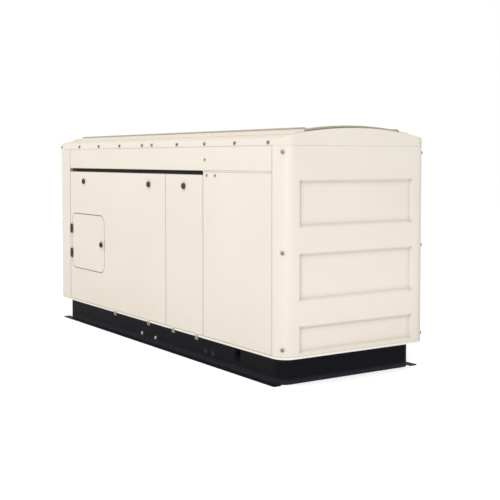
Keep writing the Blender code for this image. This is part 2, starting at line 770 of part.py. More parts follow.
def end_outline(end, seam):
    """Plan of an end panel: it wraps both round corners and folds in behind the front and rear seams."""
    edge = HALF_WIDTH - PANEL_RETURN
    radius = CORNER_RADIUS
    centre_x, centre_y = HALF_LENGTH - radius, HALF_WIDTH - radius
    start = seam + SEAM / 2
    path = [(start, -edge), (start, -HALF_WIDTH)]
    path += arc((centre_x, -centre_y), radius, -90, 0, 7)
    path += arc((centre_x, centre_y), radius, 0, 90, 7)
    path += [(start, HALF_WIDTH), (start, edge)]
    return mirrored(folded(path, SHEET), end, 1)


def end_panels():
    plan = end_outline(1, RIGHT_SEAM_X)
    right = drawn("end_panel_right", [plan], "z", PANEL_BOTTOM, PANEL_TOP, CREAM_PAINT)
    half = EMBOSS_WIDTH / 2
    for i, (low, high) in enumerate(EMBOSS_Z):
        pan = tapered_box(
            f"emboss_pan_{i}",
            (HALF_LENGTH - EMBOSS_DEPTH - SHEET, -half - SHEET, low - SHEET),
            (HALF_LENGTH - SHEET / 2, half + SHEET, high + SHEET),
            EMBOSS_SLOPE,
        )
        join(right, pan)
        field = tapered_box(
            f"emboss_field_{i}",
            (HALF_LENGTH - EMBOSS_DEPTH, -half, low),
            (HALF_LENGTH + SHEET / 2, half, high),
            EMBOSS_SLOPE,
        )
        cut(right, field)

    plan = end_outline(-1, -LEFT_SEAM_X)
    left = drawn("end_panel_left", [plan], "z", PANEL_BOTTOM, PANEL_TOP, CREAM_PAINT)
    half = INTAKE_WIDTH / 2
    slots = []
    start, end = -HALF_LENGTH - CUT_PAST, -HALF_LENGTH + CUT_PAST
    for i in range(INTAKE_ROWS):
        low = INTAKE_BOTTOM + i * INTAKE_PITCH
        slots.append(((start, -half, low), (end, half, low + INTAKE_SLOT)))
    cut(left, boxes("intake_slots", slots))


def rear_panels():
    """Two screwed panels along the back, each with a raised upper field."""
    half_seam = SEAM / 2
    spans = (
        ("rear_panel_left", LEFT_SEAM_X + half_seam, FIXED_SEAM_X - half_seam),
        ("rear_panel_right", FIXED_SEAM_X + half_seam, RIGHT_SEAM_X - half_seam),
    )
    for name, left, right in spans:
        low = (left, HALF_WIDTH - PANEL_RETURN, PANEL_BOTTOM)
        high = (right, HALF_WIDTH, PANEL_TOP)
        panel = tray(name, low, high, (0, -1, 0), CREAM_PAINT)
        margin = REAR_FIELD_MARGIN
        outer = box(
            f"{name}_field",
            (left + margin, HALF_WIDTH - SHEET / 2, REAR_FIELD_BOTTOM),
            (right - margin, HALF_WIDTH + PROUD, PANEL_TOP - margin),
        )
        join(panel, rounded(outer, FOLD_RADIUS))
        hollow = box(
            f"{name}_hollow",
            (left + margin + SHEET, HALF_WIDTH - 2 * SHEET, REAR_FIELD_BOTTOM + SHEET),
            (right - margin - SHEET, HALF_WIDTH + PROUD - SHEET, PANEL_TOP - margin - SHEET),
        )
        cut(panel, rounded(hollow, FOLD_RADIUS - SHEET))


def roof_outline(inset, drop):
    """The roof's section: a shallow crown between two tight shoulders, cut off at the seam less a drop."""
    crown_z = ROOF_CREST - CROWN_RADIUS
    shoulder_y = HALF_WIDTH - SHOULDER_RADIUS
    reach = CROWN_RADIUS - SHOULDER_RADIUS
    shoulder_z = crown_z + math.sqrt(reach**2 - shoulder_y**2)
    turn = math.degrees(math.asin(shoulder_y / reach))
    seam = ROOF_SEAM + FIT
    radius = SHOULDER_RADIUS - inset
    foot = math.degrees(math.asin(min(max((seam - shoulder_z) / radius, 0.0), 1.0)))
    half = arc((shoulder_y, shoulder_z), radius, foot, 90 - turn, 6)
    bottom = seam - drop
    if bottom < half[0][1] - 1e-6:
        half.insert(0, (half[0][0], bottom))
    crown = arc((0.0, crown_z), CROWN_RADIUS - inset, 90 - turn, 90 + turn, CROWN_STEPS)
    return half + crown[1:-1] + [(-y, z) for y, z in reversed(half)]


def roof_half(name, start, end, open_end):
    """One half of the roof shell, trimmed to the round corners in plan and left open at the split."""
    half = drawn(name, [roof_outline(0.0, 0.0)], "x", start, end, CREAM_PAINT)
    plan = rounded_rectangle(-HALF_LENGTH, HALF_LENGTH, -HALF_WIDTH, HALF_WIDTH, CORNER_RADIUS)
    below, above = ROOF_SEAM - 2 * CUT_PAST, OVERALL_HEIGHT + CUT_PAST
    change(half, "INTERSECT", drawn(f"{name}_plan", [plan], "z", below, above))
    inner_start = start - CUT_PAST if open_end < 0 else start + SHEET
    inner_end = end + CUT_PAST if open_end > 0 else end - SHEET
    hollow = drawn(f"{name}_hollow", [roof_outline(SHEET, CUT_PAST)], "x", inner_start, inner_end)
    inner_x, inner_y = HALF_LENGTH - SHEET, HALF_WIDTH - SHEET
    inner_plan = rounded_rectangle(-inner_x, inner_x, -inner_y, inner_y, CORNER_RADIUS - SHEET)
    change(hollow, "INTERSECT", drawn(f"{name}_inner", [inner_plan], "z", below, above))
    cut(half, hollow)
    return half


def crown_band(name, width, low, high, start, end, steps, material=None):
    """A strip that follows the crown, from low to high above it."""
    centre = (0.0, ROOF_CREST - CROWN_RADIUS)
    turn = math.degrees(math.asin(width / 2 / CROWN_RADIUS))
    outline = arc(centre, CROWN_RADIUS + high, 90 - turn, 90 + turn, steps)
    outline += arc(centre, CROWN_RADIUS + low, 90 + turn, 90 - turn, steps)
    return drawn(name, [outline], "x", start, end, material)


def roof():
    roof_half("roof_left", -HALF_LENGTH, ROOF_SPLIT_X - ROOF_SPLIT_GAP / 2, 1)
    right = roof_half("roof_right", ROOF_SPLIT_X + ROOF_SPLIT_GAP / 2, HALF_LENGTH, -1)
    near, far = DISCHARGE_X
    half = DISCHARGE_WIDTH / 2
    above = OVERALL_HEIGHT + CUT_PAST
    cut(right, box("discharge_opening", (near, -half, ROOF_SEAM), (far, half, above)))

    cap = crown_band(
        "roof_cap", CAP_WIDTH, FIT, CAP_HEIGHT, -CAP_LENGTH / 2, CAP_LENGTH / 2, CROWN_STEPS, CREAM_PAINT
    )
    wall = 2 * SHEET
    hollow_end = CAP_LENGTH / 2 - SHEET
    hollow_top = CAP_HEIGHT - SHEET
    hollow = crown_band(
        "cap_hollow", CAP_WIDTH - wall, -CUT_PAST, hollow_top, -hollow_end, hollow_end, CROWN_STEPS
    )
    cut(cap, hollow)
    rim = GRILLE_RIM + SEAM
    cut(cap, box("cap_window", (near - rim, -half - rim, ROOF_SEAM), (far + rim, half + rim, above)))

    grille = crown_band(
        "discharge_grille",
        DISCHARGE_WIDTH + 2 * GRILLE_RIM,
        FIT,
        FIT + GRILLE_THICKNESS,
        near - GRILLE_RIM,
        far + GRILLE_RIM,
        CROWN_STEPS,
        BLACK_PAINT,
    )
    count = int((far - near - GRILLE_SLOT) / GRILLE_PITCH) + 1
    first = (near + far - (count - 1) * GRILLE_PITCH - GRILLE_SLOT) / 2
    slots = []
    for i in range(count):
        x = first + i * GRILLE_PITCH
        slots.append(((x, -half, ROOF_SEAM), (x + GRILLE_SLOT, half, above)))
    cut(grille, boxes("grille_slots", slots))


def engine():
    near, far = BLOCK_X
    half = BLOCK_WIDTH / 2
    block_piece = box("engine_block", (near, -half, BLOCK_BOTTOM), (far, half, BLOCK_TOP), CAST_IRON)
    rounded(block_piece, CASTING_ROUND)
    for side, side_name in ((-1, "front"), (1, "rear")):
        low_y, high_y = sorted((side * (half - 0.02), side * (ENGINE_FOOT_Y + ENGINE_FOOT_WIDTH / 2)))
        bracket = box(
            f"engine_bracket_{side_name}",
            (ENGINE_FOOT_X - ENGINE_FOOT_LENGTH / 2, low_y, FOOT_Z),
            (ENGINE_FOOT_X + ENGINE_FOOT_LENGTH / 2, high_y, ENGINE_BRACKET_TOP),
        )
        join(block_piece, bracket)
    place = (far, 0.0, FAN_Z)
    join(block_piece, rod("pump_boss", PUMP_BOSS_RADIUS, -0.02, PUMP_BOSS_LENGTH, place, "x"))
    pump_bore = FAN_SHAFT_RADIUS + RUNNING_GAP
    cut(block_piece, rod("pump_bore", pump_bore, -CUT_PAST, PUMP_BOSS_LENGTH + CUT_PAST, place, "x"))
    crank_bore = SHAFT_RADIUS + RUNNING_GAP
    cut(block_piece, rod("crank_bore", crank_bore, near - CUT_PAST, far + CUT_PAST, (0, 0, SHAFT_Z), "x"))

    margin = PAN_MARGIN
    pan_half = PAN_WIDTH / 2
    pan = box(
        "oil_pan",
        (near + margin, -pan_half, PAN_BOTTOM),
        (far - margin, pan_half, BLOCK_BOTTOM - FIT),
        BLACK_PAINT,
    )
    rounded(pan, CASTING_ROUND)
    head_half = HEAD_WIDTH / 2
    head_low = BLOCK_TOP + FIT
    head_high = head_low + HEAD_HEIGHT
    margin = HEAD_MARGIN
    head_start = (near + margin, -head_half, head_low)
    head = box("cylinder_head", head_start, (far - margin, head_half, head_high), ALUMINIUM)
    rounded(head, CASTING_ROUND / 3)
    rocker_half = ROCKER_WIDTH / 2
    rocker = box(
        "rocker_cover",
        (near + 2 * margin, -rocker_half, head_high + FIT),
        (far - 2 * margin, rocker_half, head_high + FIT + ROCKER_HEIGHT),
        BLACK_PAINT,
    )
    rounded(rocker, CASTING_ROUND)


def alternator():
    """A ring-shaped adapter, a stator with its end bell in one casting, and the shaft through all of it."""
    adapter_end = BLOCK_X[0] - FIT
    adapter_start = adapter_end - BELL_LENGTH
    bore = BELL_RADIUS - BELL_WALL
    profile = [
        (bore, adapter_end),
        (BELL_RADIUS, adapter_end),
        (STATOR_RADIUS, adapter_start),
        (bore, adapter_start),
    ]
    turned("bell_housing", profile, (0, 0, SHAFT_Z), "x", CAST_IRON, ring=True)

    end = adapter_start - FIT
    start = end - STATOR_LENGTH
    back = start - END_BELL_LENGTH
    hole = SHAFT_RADIUS + RUNNING_GAP
    profile = [
        (STATOR_BORE, end),
        (STATOR_RADIUS, end),
        (STATOR_RADIUS, start),
        (STATOR_RADIUS - 0.03, back),
        (hole, back),
        (hole, start),
        (STATOR_BORE, start),
    ]
    stator = turned("alternator_stator", profile, (0, 0, SHAFT_Z), "x", CAST_IRON, ring=True)
    reach_y = ALTERNATOR_FOOT_Y + ALTERNATOR_FOOT_WIDTH / 2
    low = (ALTERNATOR_FOOT_X - ALTERNATOR_FOOT_LENGTH / 2, -reach_y, FOOT_Z)
    high = (ALTERNATOR_FOOT_X + ALTERNATOR_FOOT_LENGTH / 2, reach_y, SHAFT_Z - STATOR_BORE - 0.02)
    join(stator, box("alternator_foot", low, high))

    pulley_low, pulley_high = PULLEY_X
    profile = [
        (0.0, NOSE_END_X),
        (SHAFT_RADIUS, NOSE_END_X),
        (SHAFT_RADIUS, pulley_high),
        (CRANK_PULLEY_RADIUS, pulley_high),
        (CRANK_PULLEY_RADIUS, pulley_low),
        (SHAFT_RADIUS, pulley_low),
        (SHAFT_RADIUS, FLYWHEEL_X[1]),
        (FLYWHEEL_RADIUS, FLYWHEEL_X[1]),
        (FLYWHEEL_RADIUS, FLYWHEEL_X[0]),
        (SHAFT_RADIUS, FLYWHEEL_X[0]),
        (SHAFT_RADIUS, ROTOR_X[1]),
        (ROTOR_RADIUS, ROTOR_X[1]),
        (ROTOR_RADIUS, ROTOR_X[0]),
        (SHAFT_RADIUS, ROTOR_X[0]),
        (SHAFT_RADIUS, back - 0.01),
        (0.0, back - 0.01),
    ]
    turned("crankshaft_rotor", profile, (0, 0, SHAFT_Z), "x", STEEL)


def isolators():
    """A rubber block under each engine and alternator foot."""
    for name, x, y in (
        ("isolator_engine_front", ENGINE_FOOT_X, -ENGINE_FOOT_Y),
        ("isolator_engine_rear", ENGINE_FOOT_X, ENGINE_FOOT_Y),
        ("isolator_alternator_front", ALTERNATOR_FOOT_X, -ALTERNATOR_FOOT_Y),
        ("isolator_alternator_rear", ALTERNATOR_FOOT_X, ALTERNATOR_FOOT_Y),
    ):
        low = CROSS_TOP + FIT
        rod(name, ISOLATOR_RADIUS, low, low + ISOLATOR_HEIGHT, (x, y, 0), "z", RUBBER)


def belt_outline(offset):
    """A loop round both pulleys, offset from their rims, with straight runs between the tangent points."""
    low, high = CRANK_PULLEY_RADIUS + offset, FAN_PULLEY_RADIUS + offset
    lean = math.degrees(math.asin((CRANK_PULLEY_RADIUS - FAN_PULLEY_RADIUS) / (FAN_Z - SHAFT_Z)))
    top = arc((0.0, FAN_Z), high, lean, 180 - lean, 24)
    return top + arc((0.0, SHAFT_Z), low, 180 - lean, 360 + lean, 30)


def fan_drive():
    middle = sum(PULLEY_X) / 2
    outlines = [belt_outline(BELT_THICKNESS), belt_outline(FIT)]
    drawn("fan_belt", outlines, "x", middle - BELT_WIDTH / 2, middle + BELT_WIDTH / 2, RUBBER)

    pulley_low, pulley_high = PULLEY_X
    hub_low, hub_high = FAN_HUB_X
    shaft_end = BLOCK_X[1] + 0.004
    profile = [
        (0.0, hub_high),
        (FAN_HUB_RADIUS, hub_high),
        (FAN_HUB_RADIUS, hub_low),
        (FAN_SHAFT_RADIUS, hub_low),
        (FAN_SHAFT_RADIUS, pulley_high),
        (FAN_PULLEY_RADIUS, pulley_high),
        (FAN_PULLEY_RADIUS, pulley_low),
        (FAN_SHAFT_RADIUS, pulley_low),
        (FAN_SHAFT_RADIUS, shaft_end),
        (0.0, shaft_end),
    ]
    fan = turned("cooling_fan", profile, (0, 0, FAN_Z), "x", BLACK_PLASTIC, steps=24)
    length = FAN_RADIUS - FAN_HUB_RADIUS / 2
    middle_x = (hub_low + hub_high) / 2
    for i in range(FAN_BLADES):
        turn = Matrix.Rotation(2 * math.pi * i / FAN_BLADES, 4, "X")
        reach = Matrix.Translation((0, 0, FAN_RADIUS - length / 2))
        pitch = Matrix.Rotation(math.radians(FAN_BLADE_PITCH), 4, "Z")
        matrix = Matrix.Translation((middle_x, 0, FAN_Z)) @ turn @ reach @ pitch
        blade = block(f"blade_{i}", Vector((FAN_BLADE_THICKNESS, FAN_BLADE_CHORD, length)), matrix)
        join(fan, blade)


def cooling():
    front = BULKHEAD_X - RADIATOR_DEPTH
    half = RADIATOR_WIDTH / 2
    core = box("radiator", (front, -half, RADIATOR_BOTTOM), (BULKHEAD_X, half, RADIATOR_TOP), ALUMINIUM)
    shroud_face = front - FIT - SHROUD_DEPTH
    for name, low, high in (
        ("top_tank", RADIATOR_TOP - TANK_HEIGHT, RADIATOR_TOP + TANK_DEPTH),
        ("bottom_tank", RADIATOR_BOTTOM - TANK_DEPTH, RADIATOR_BOTTOM + TANK_HEIGHT / 2),
    ):
        join(core, box(name, (front, -half - TANK_DEPTH, low), (BULKHEAD_X, half + TANK_DEPTH, high)))
    shroud = tray(
        "fan_shroud",
        (shroud_face, -half, RADIATOR_BOTTOM),
        (front - FIT, half, RADIATOR_TOP),
        (1, 0, 0),
        BLACK_PLASTIC,
        wall=0.003,
    )
    radius, place = FAN_RADIUS + SHROUD_GAP, (shroud_face, 0, FAN_Z)
    cut(shroud, rod("shroud_hole", radius, -2 * CUT_PAST, 2 * CUT_PAST, place, "x", steps=32))


def exhaust():
    low, high = MUFFLER_X
    side = HEAD_WIDTH / 2 + FIT
    manifold = box(
        "exhaust_manifold",
        (MANIFOLD_X[0], side, MANIFOLD_Z[0]),
        (MANIFOLD_X[1], side + MANIFOLD_WIDTH, MANIFOLD_Z[1]),
        CAST_IRON,
    )
    rounded(manifold, CASTING_ROUND)
    corners = [
        (EXHAUST_OUTLET_X, EXHAUST_Y, MANIFOLD_Z[1] + FIT),
        (EXHAUST_OUTLET_X, EXHAUST_Y, EXHAUST_Z),
        (low - FIT, EXHAUST_Y, EXHAUST_Z),
    ]
    tube("exhaust_pipe", corners, EXHAUST_RADIUS, EXHAUST_BEND, ALUMINISED)
    cone = MUFFLER_CONE
    profile = [
        (0.0, high),
        (EXHAUST_RADIUS, high),
        (EXHAUST_RADIUS, high - cone / 2),
        (MUFFLER_RADIUS, high - cone),
        (MUFFLER_RADIUS, low + cone),
        (EXHAUST_RADIUS, low + cone / 2),
        (EXHAUST_RADIUS, low),
        (0.0, low),
    ]
    turned("muffler", profile, (0, EXHAUST_Y, EXHAUST_Z), "x", ALUMINISED)


def air_intake():
    low, high = CLEANER_X
    rim = 0.012
    profile = [
        (0.0, high),
        (CLEANER_RADIUS - rim, high),
        (CLEANER_RADIUS, high - rim),
        (CLEANER_RADIUS, low + rim),
        (CLEANER_RADIUS - rim, low),
        (0.0, low),
    ]
    turned("air_cleaner", profile, (0, CLEANER_Y, CLEANER_Z), "x", BLACK_PLASTIC, steps=24)
    corners = [
        (high + FIT, CLEANER_Y, CLEANER_Z),
        (INTAKE_PIPE_X, CLEANER_Y, CLEANER_Z),
        (INTAKE_PIPE_X, CLEANER_Y, INTAKE_PORT_Z),
        (INTAKE_PIPE_X, -HEAD_WIDTH / 2 - FIT, INTAKE_PORT_Z),
    ]
    tube("intake_pipe", corners, INTAKE_PIPE_RADIUS, INTAKE_BEND, RUBBER)


def battery():
    length, depth, height = BATTERY_SIZE
    low = (BATTERY_X - length / 2, BATTERY_Y - depth / 2, CROSS_TOP + FIT)
    high = (BATTERY_X + length / 2, BATTERY_Y + depth / 2, CROSS_TOP + FIT + height)
    rounded(box("battery", low, high, BATTERY_CASE), FOLD_RADIUS)


def controls():
    """A box on the left front post, its face behind the access door."""
    left = LEFT_SEAM_X + POST_FACE / 2 + FIT
    right = left + CONTROL_BOX_WIDTH
    low_z, high_z = CONTROL_BOX_Z
    face = CONTROL_FACE_Y
    panel = tray(
        "control_box",
        (left, face, low_z),
        (right, face + CONTROL_BOX_DEPTH, high_z),
        (0, 1, 0),
        CONTROL_GREY,
    )
    stem = STOP_BUTTON_STEM + RUNNING_GAP
    place = (STOP_BUTTON_X, face, STOP_BUTTON_Z)
    cut(panel, rod("stop_button_hole", stem, -2 * CUT_PAST, 2 * CUT_PAST, place, "y"))

    front = face - FIT
    rounded(
        box(
            "controller",
            (CONTROLLER_X[0], front - CONTROLLER_DEPTH, CONTROLLER_Z[0]),
            (CONTROLLER_X[1], front, CONTROLLER_Z[1]),
            BLACK_PLASTIC,
        ),
        FOLD_RADIUS / 2,
    )
    travel = STOP_BUTTON_TRAVEL + RUNNING_GAP
    head_top = travel + STOP_BUTTON_HEAD
    profile = [
        (0.0, head_top),
        (STOP_BUTTON_RADIUS - 0.004, head_top),
        (STOP_BUTTON_RADIUS, head_top - 0.004),
        (STOP_BUTTON_RADIUS, travel),
        (STOP_BUTTON_STEM, travel),
        (STOP_BUTTON_STEM, -0.012),
        (0.0, -0.012),
    ]
    turned("stop_button", profile, place, "y", STOP_RED, steps=24)

    breaker = box(
        "breaker",
        (BREAKER_X[0], front - BREAKER_DEPTH, BREAKER_Z[0]),
        (BREAKER_X[1], front, BREAKER_Z[1]),
        BLACK_PLASTIC,
    )
    middle_x, middle_z = sum(BREAKER_X) / 2, sum(BREAKER_Z) / 2
    half = BREAKER_HANDLE_WIDTH / 2
    pivot_y = front - BREAKER_DEPTH
    well = BREAKER_PIVOT_RADIUS + RUNNING_GAP
    slot = box(
        "breaker_slot",
        (middle_x - half - RUNNING_GAP, pivot_y - 0.01, middle_z - well),
        (middle_x + half + RUNNING_GAP, pivot_y + well, middle_z + well),
    )
    cut(breaker, slot)
    pivot = (middle_x, pivot_y, middle_z)
    handle = rod("breaker_handle", BREAKER_PIVOT_RADIUS, -half, half, pivot, "x", BLACK_PLASTIC)
    lever = box(
        "breaker_lever",
        (middle_x - half + 0.002, pivot_y - BREAKER_HANDLE_REACH, middle_z - 0.004),
        (middle_x + half - 0.002, pivot_y, middle_z + 0.004),
    )
    join(handle, lever)


base()
sill_frame()
corner_posts()
latch_rail()
bulkhead()
front_panels()
access_door()
for side_of_door, hinge_z in zip(("hinge_upper", "hinge_lower"), HINGES_Z):
    hinge(side_of_door, hinge_z)
latches()
end_panels()
rear_panels()
roof()
engine()
alternator()
isolators()
fan_drive()
cooling()
exhaust()
air_intake()
battery()
controls()
bpy.context.view_layer.update()
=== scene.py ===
"""The looks of a home standby generator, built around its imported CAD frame. Metres, +Z up."""

import json
import math

import bmesh
import bpy
from mathutils import Matrix, Vector

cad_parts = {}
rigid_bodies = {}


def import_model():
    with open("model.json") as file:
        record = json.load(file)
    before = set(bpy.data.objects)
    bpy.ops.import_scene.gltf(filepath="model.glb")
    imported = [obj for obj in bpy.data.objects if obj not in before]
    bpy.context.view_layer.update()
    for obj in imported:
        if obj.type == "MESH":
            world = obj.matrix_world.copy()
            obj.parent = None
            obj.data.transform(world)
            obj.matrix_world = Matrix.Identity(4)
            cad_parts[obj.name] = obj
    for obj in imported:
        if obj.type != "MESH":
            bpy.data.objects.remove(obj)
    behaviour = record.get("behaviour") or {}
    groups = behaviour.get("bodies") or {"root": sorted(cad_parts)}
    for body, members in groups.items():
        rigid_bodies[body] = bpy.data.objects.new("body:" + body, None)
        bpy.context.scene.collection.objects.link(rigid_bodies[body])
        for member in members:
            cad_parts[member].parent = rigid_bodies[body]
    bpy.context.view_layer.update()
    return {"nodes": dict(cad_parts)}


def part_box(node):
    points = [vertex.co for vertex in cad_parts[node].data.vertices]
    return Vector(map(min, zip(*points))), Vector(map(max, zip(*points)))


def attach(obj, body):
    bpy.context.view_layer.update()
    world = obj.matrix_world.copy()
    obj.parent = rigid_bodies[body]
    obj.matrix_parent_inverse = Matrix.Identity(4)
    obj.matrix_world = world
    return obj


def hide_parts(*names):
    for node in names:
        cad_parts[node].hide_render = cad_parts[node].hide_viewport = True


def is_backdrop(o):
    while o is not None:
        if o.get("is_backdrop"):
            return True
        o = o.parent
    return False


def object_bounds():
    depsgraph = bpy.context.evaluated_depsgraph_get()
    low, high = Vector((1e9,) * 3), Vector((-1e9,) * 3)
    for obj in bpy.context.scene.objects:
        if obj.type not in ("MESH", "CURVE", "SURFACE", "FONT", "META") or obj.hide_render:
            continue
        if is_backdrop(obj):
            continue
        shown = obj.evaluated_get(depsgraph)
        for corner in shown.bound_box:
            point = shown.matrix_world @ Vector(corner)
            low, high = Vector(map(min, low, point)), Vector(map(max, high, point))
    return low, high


# Frame: the CAD model as it was packed, with Blender's startup objects cleared away first.
for startup in list(bpy.data.objects):
    bpy.data.objects.remove(startup)
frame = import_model()
scene = bpy.context.scene
scene.view_settings.view_transform = "Standard"


# Camera: just under the roof's height, off the near corner at the radiator end, looking along the
# service side. A 71.1 mm lens on a 36 mm frame, shifted a little to set the cabinet above the middle.
camera = bpy.data.objects.new("camera", bpy.data.cameras.new("camera"))
scene.collection.objects.link(camera)
scene.camera = camera
camera.location = (4.749, -2.916, 1.014)
camera.rotation_euler = (math.radians(87.619), 0, math.radians(56.473))
camera.data.lens = 71.1
camera.data.sensor_width = 36
camera.data.shift_x = -0.0014
camera.data.shift_y = -0.10


# Studio: a white room with four soft lamps: a cool one off the near corner, a small one low down by
# the radiator end, a warm one along the service side and one overhead. Camera, glossy and
# transmission rays see it full white, diffuse rays at ROOM_LEVEL.
ROOM_LEVEL = 0.62


def add_node(tree, kind, settings=(), links=()):
    """Adds a node with its settings and links, by input. A node as a link stands for its first output."""
    node = tree.nodes.new(kind)
    for name, value in dict(settings).items():
        if isinstance(name, int) or name in node.inputs:
            node.inputs[name].default_value = value
        else:
            setattr(node, name, value)
    for name, source in dict(links).items():
        socket = source.outputs[0] if isinstance(source, bpy.types.Node) else source
        tree.links.new(socket, node.inputs[name])
    return node


room = bpy.data.worlds.new("studio_room")
scene.world = room
room.use_nodes = True
room.node_tree.nodes.clear()
rays = add_node(room.node_tree, "ShaderNodeLightPath")
seen = rays.outputs["Is Camera Ray"]
for ray in ("Is Glossy Ray", "Is Transmission Ray"):
    both = {0: seen, 1: rays.outputs[ray]}
    seen = add_node(room.node_tree, "ShaderNodeMath", {"operation": "ADD", "use_clamp": True}, both)
shown = {"To Min": ROOM_LEVEL, "To Max": 1.0}
level = add_node(room.node_tree, "ShaderNodeMapRange", shown, {"Value": seen})
sky = add_node(room.node_tree, "ShaderNodeBackground", {"Color": (1, 1, 1, 1)}, {"Strength": level})
add_node(room.node_tree, "ShaderNodeOutputWorld", (), {"Surface": sky})


def softbox(name, place, aim, size, power, colour):
    """Stands a square soft lamp at a place and turns it to its aim. The camera doesn't see it."""
    lamp = bpy.data.lights.new(name, "AREA")
    lamp.size = size
    lamp.color = colour
    lamp.energy = power
    stand = bpy.data.objects.new(name, lamp)
    scene.collection.objects.link(stand)
    stand.visible_camera = False
    stand.location = place
    stand.rotation_euler = (Vector(aim) - Vector(place)).to_track_quat("-Z", "Y").to_euler()


softbox("key_softbox", (7.0, -4.6, 3.0), (0.6, 0, 0.5), 3.0, 246, (0.95, 0.98, 1.04))
softbox("floor_card", (2.15, 0.25, 0.12), (1.244, 0.05, 0.22), 0.8, 1.5, (1.0, 0.98, 0.97))
softbox("side_softbox", (-4.6, -5.6, 2.4), (-1.0, 0, 0.6), 3.0, 90, (1.0, 0.98, 0.94))
softbox("top_softbox", (-0.5, -2.0, 5.0), (0, 0, 0.8), 3.5, 40, (1, 1, 1))


# Floor: a pale matt sweep far wider than the cabinet, with a soft shadow under the base.
# Camera rays get a little of its own white on top, so that it runs into the background.
FLOOR_RADIUS = 40.0
FLOOR_WHITE = 0.52


def linear(colour):
    """The linear colour of an sRGB hex value."""
    parts = [int(colour[i : i + 2], 16) / 255 for i in (0, 2, 4)]
    return [part / 12.92 if part <= 0.04045 else ((part + 0.055) / 1.055) ** 2.4 for part in parts] + [1]


shapes = bmesh.new()
bmesh.ops.create_circle(shapes, cap_ends=True, radius=FLOOR_RADIUS, segments=64)
floor = bpy.data.objects.new("floor", bpy.data.meshes.new("floor"))
shapes.to_mesh(floor.data)
shapes.free()
scene.collection.objects.link(floor)
floor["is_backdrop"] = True
sweep = bpy.data.materials.new("matt_studio_sweep")
sweep.use_nodes = True
tree = sweep.node_tree
tree.nodes.clear()
matt = add_node(tree, "ShaderNodeBsdfDiffuse", {"Color": linear("e9e9e8")})
rays = add_node(tree, "ShaderNodeLightPath")
to_camera = {0: rays.outputs["Is Camera Ray"]}
white = add_node(tree, "ShaderNodeMath", {"operation": "MULTIPLY", 1: FLOOR_WHITE}, to_camera)
glow = add_node(tree, "ShaderNodeEmission", {"Color": (1, 1, 1, 1)}, {"Strength": white})
both = add_node(tree, "ShaderNodeAddShader", (), {0: matt, 1: glow})
add_node(tree, "ShaderNodeOutputMaterial", (), {"Surface": both})
floor.data.materials.append(sweep)


# Roof: two halves of cream powder-coated sheet and a crowned cap, bent and screwed together. The
# coat is thick and evenly sprayed, so it is satin with a faint orange peel and warm and cool patches.
# On the panels below, the same coat has dust low down, grime and painted shade at the sill, and
# painted shade in its seams.
PEEL = 0.006  # real orange peel is 2 mm across; it is drawn three times as coarse to show
PEEL_DEPTH = 0.0006
PATCH = 0.45  # how wide the warm and cool patches are
RUB = 0.06  # how far handling takes the roughness either way
DUST_TOP, DUST_AMOUNT, SPECKS_PER_METRE = 0.42, 0.55, 55.0  # clumps of dust are about 18 mm wide
# Below the sill's top the cream is darkened: grime, and painted shade on the door tabs in the sill's notches.
SILL_TOP, SILL_GRIME_AND_SHADE_HEIGHT, SILL_GRIME_AND_SHADE_AMOUNT = 0.1373, 0.012, 0.8
SEAM_REACH = 0.030  # how far out of a seam its shade reaches
SEAM_BURIED, SEAM_OPEN = 0.80, 0.99  # how much sky a point sees deep in a seam and clear of it
FOLD_SHEEN = 0.006  # the powder builds up over the folds and rounds their shine this far out


def new_finish(name, dark, light, roughness, metallic=0.0):
    """A finish that runs between two close tones, with the place on the piece to draw its pattern by."""
    finish = bpy.data.materials.new(name)
    finish.use_nodes = True
    tree = finish.node_tree
    shader = tree.nodes["Principled BSDF"]
    shader.inputs["Roughness"].default_value = roughness
    shader.inputs["Metallic"].default_value = metallic
    place = add_node(tree, "ShaderNodeTexCoord").outputs["Object"]
    tones = {"data_type": "RGBA", 6: linear(dark), 7: linear(light)}
    tone = add_node(tree, "ShaderNodeMix", tones)
    tree.links.new(tone.outputs[2], shader.inputs["Base Color"])
    return finish, tree, shader, place, tone


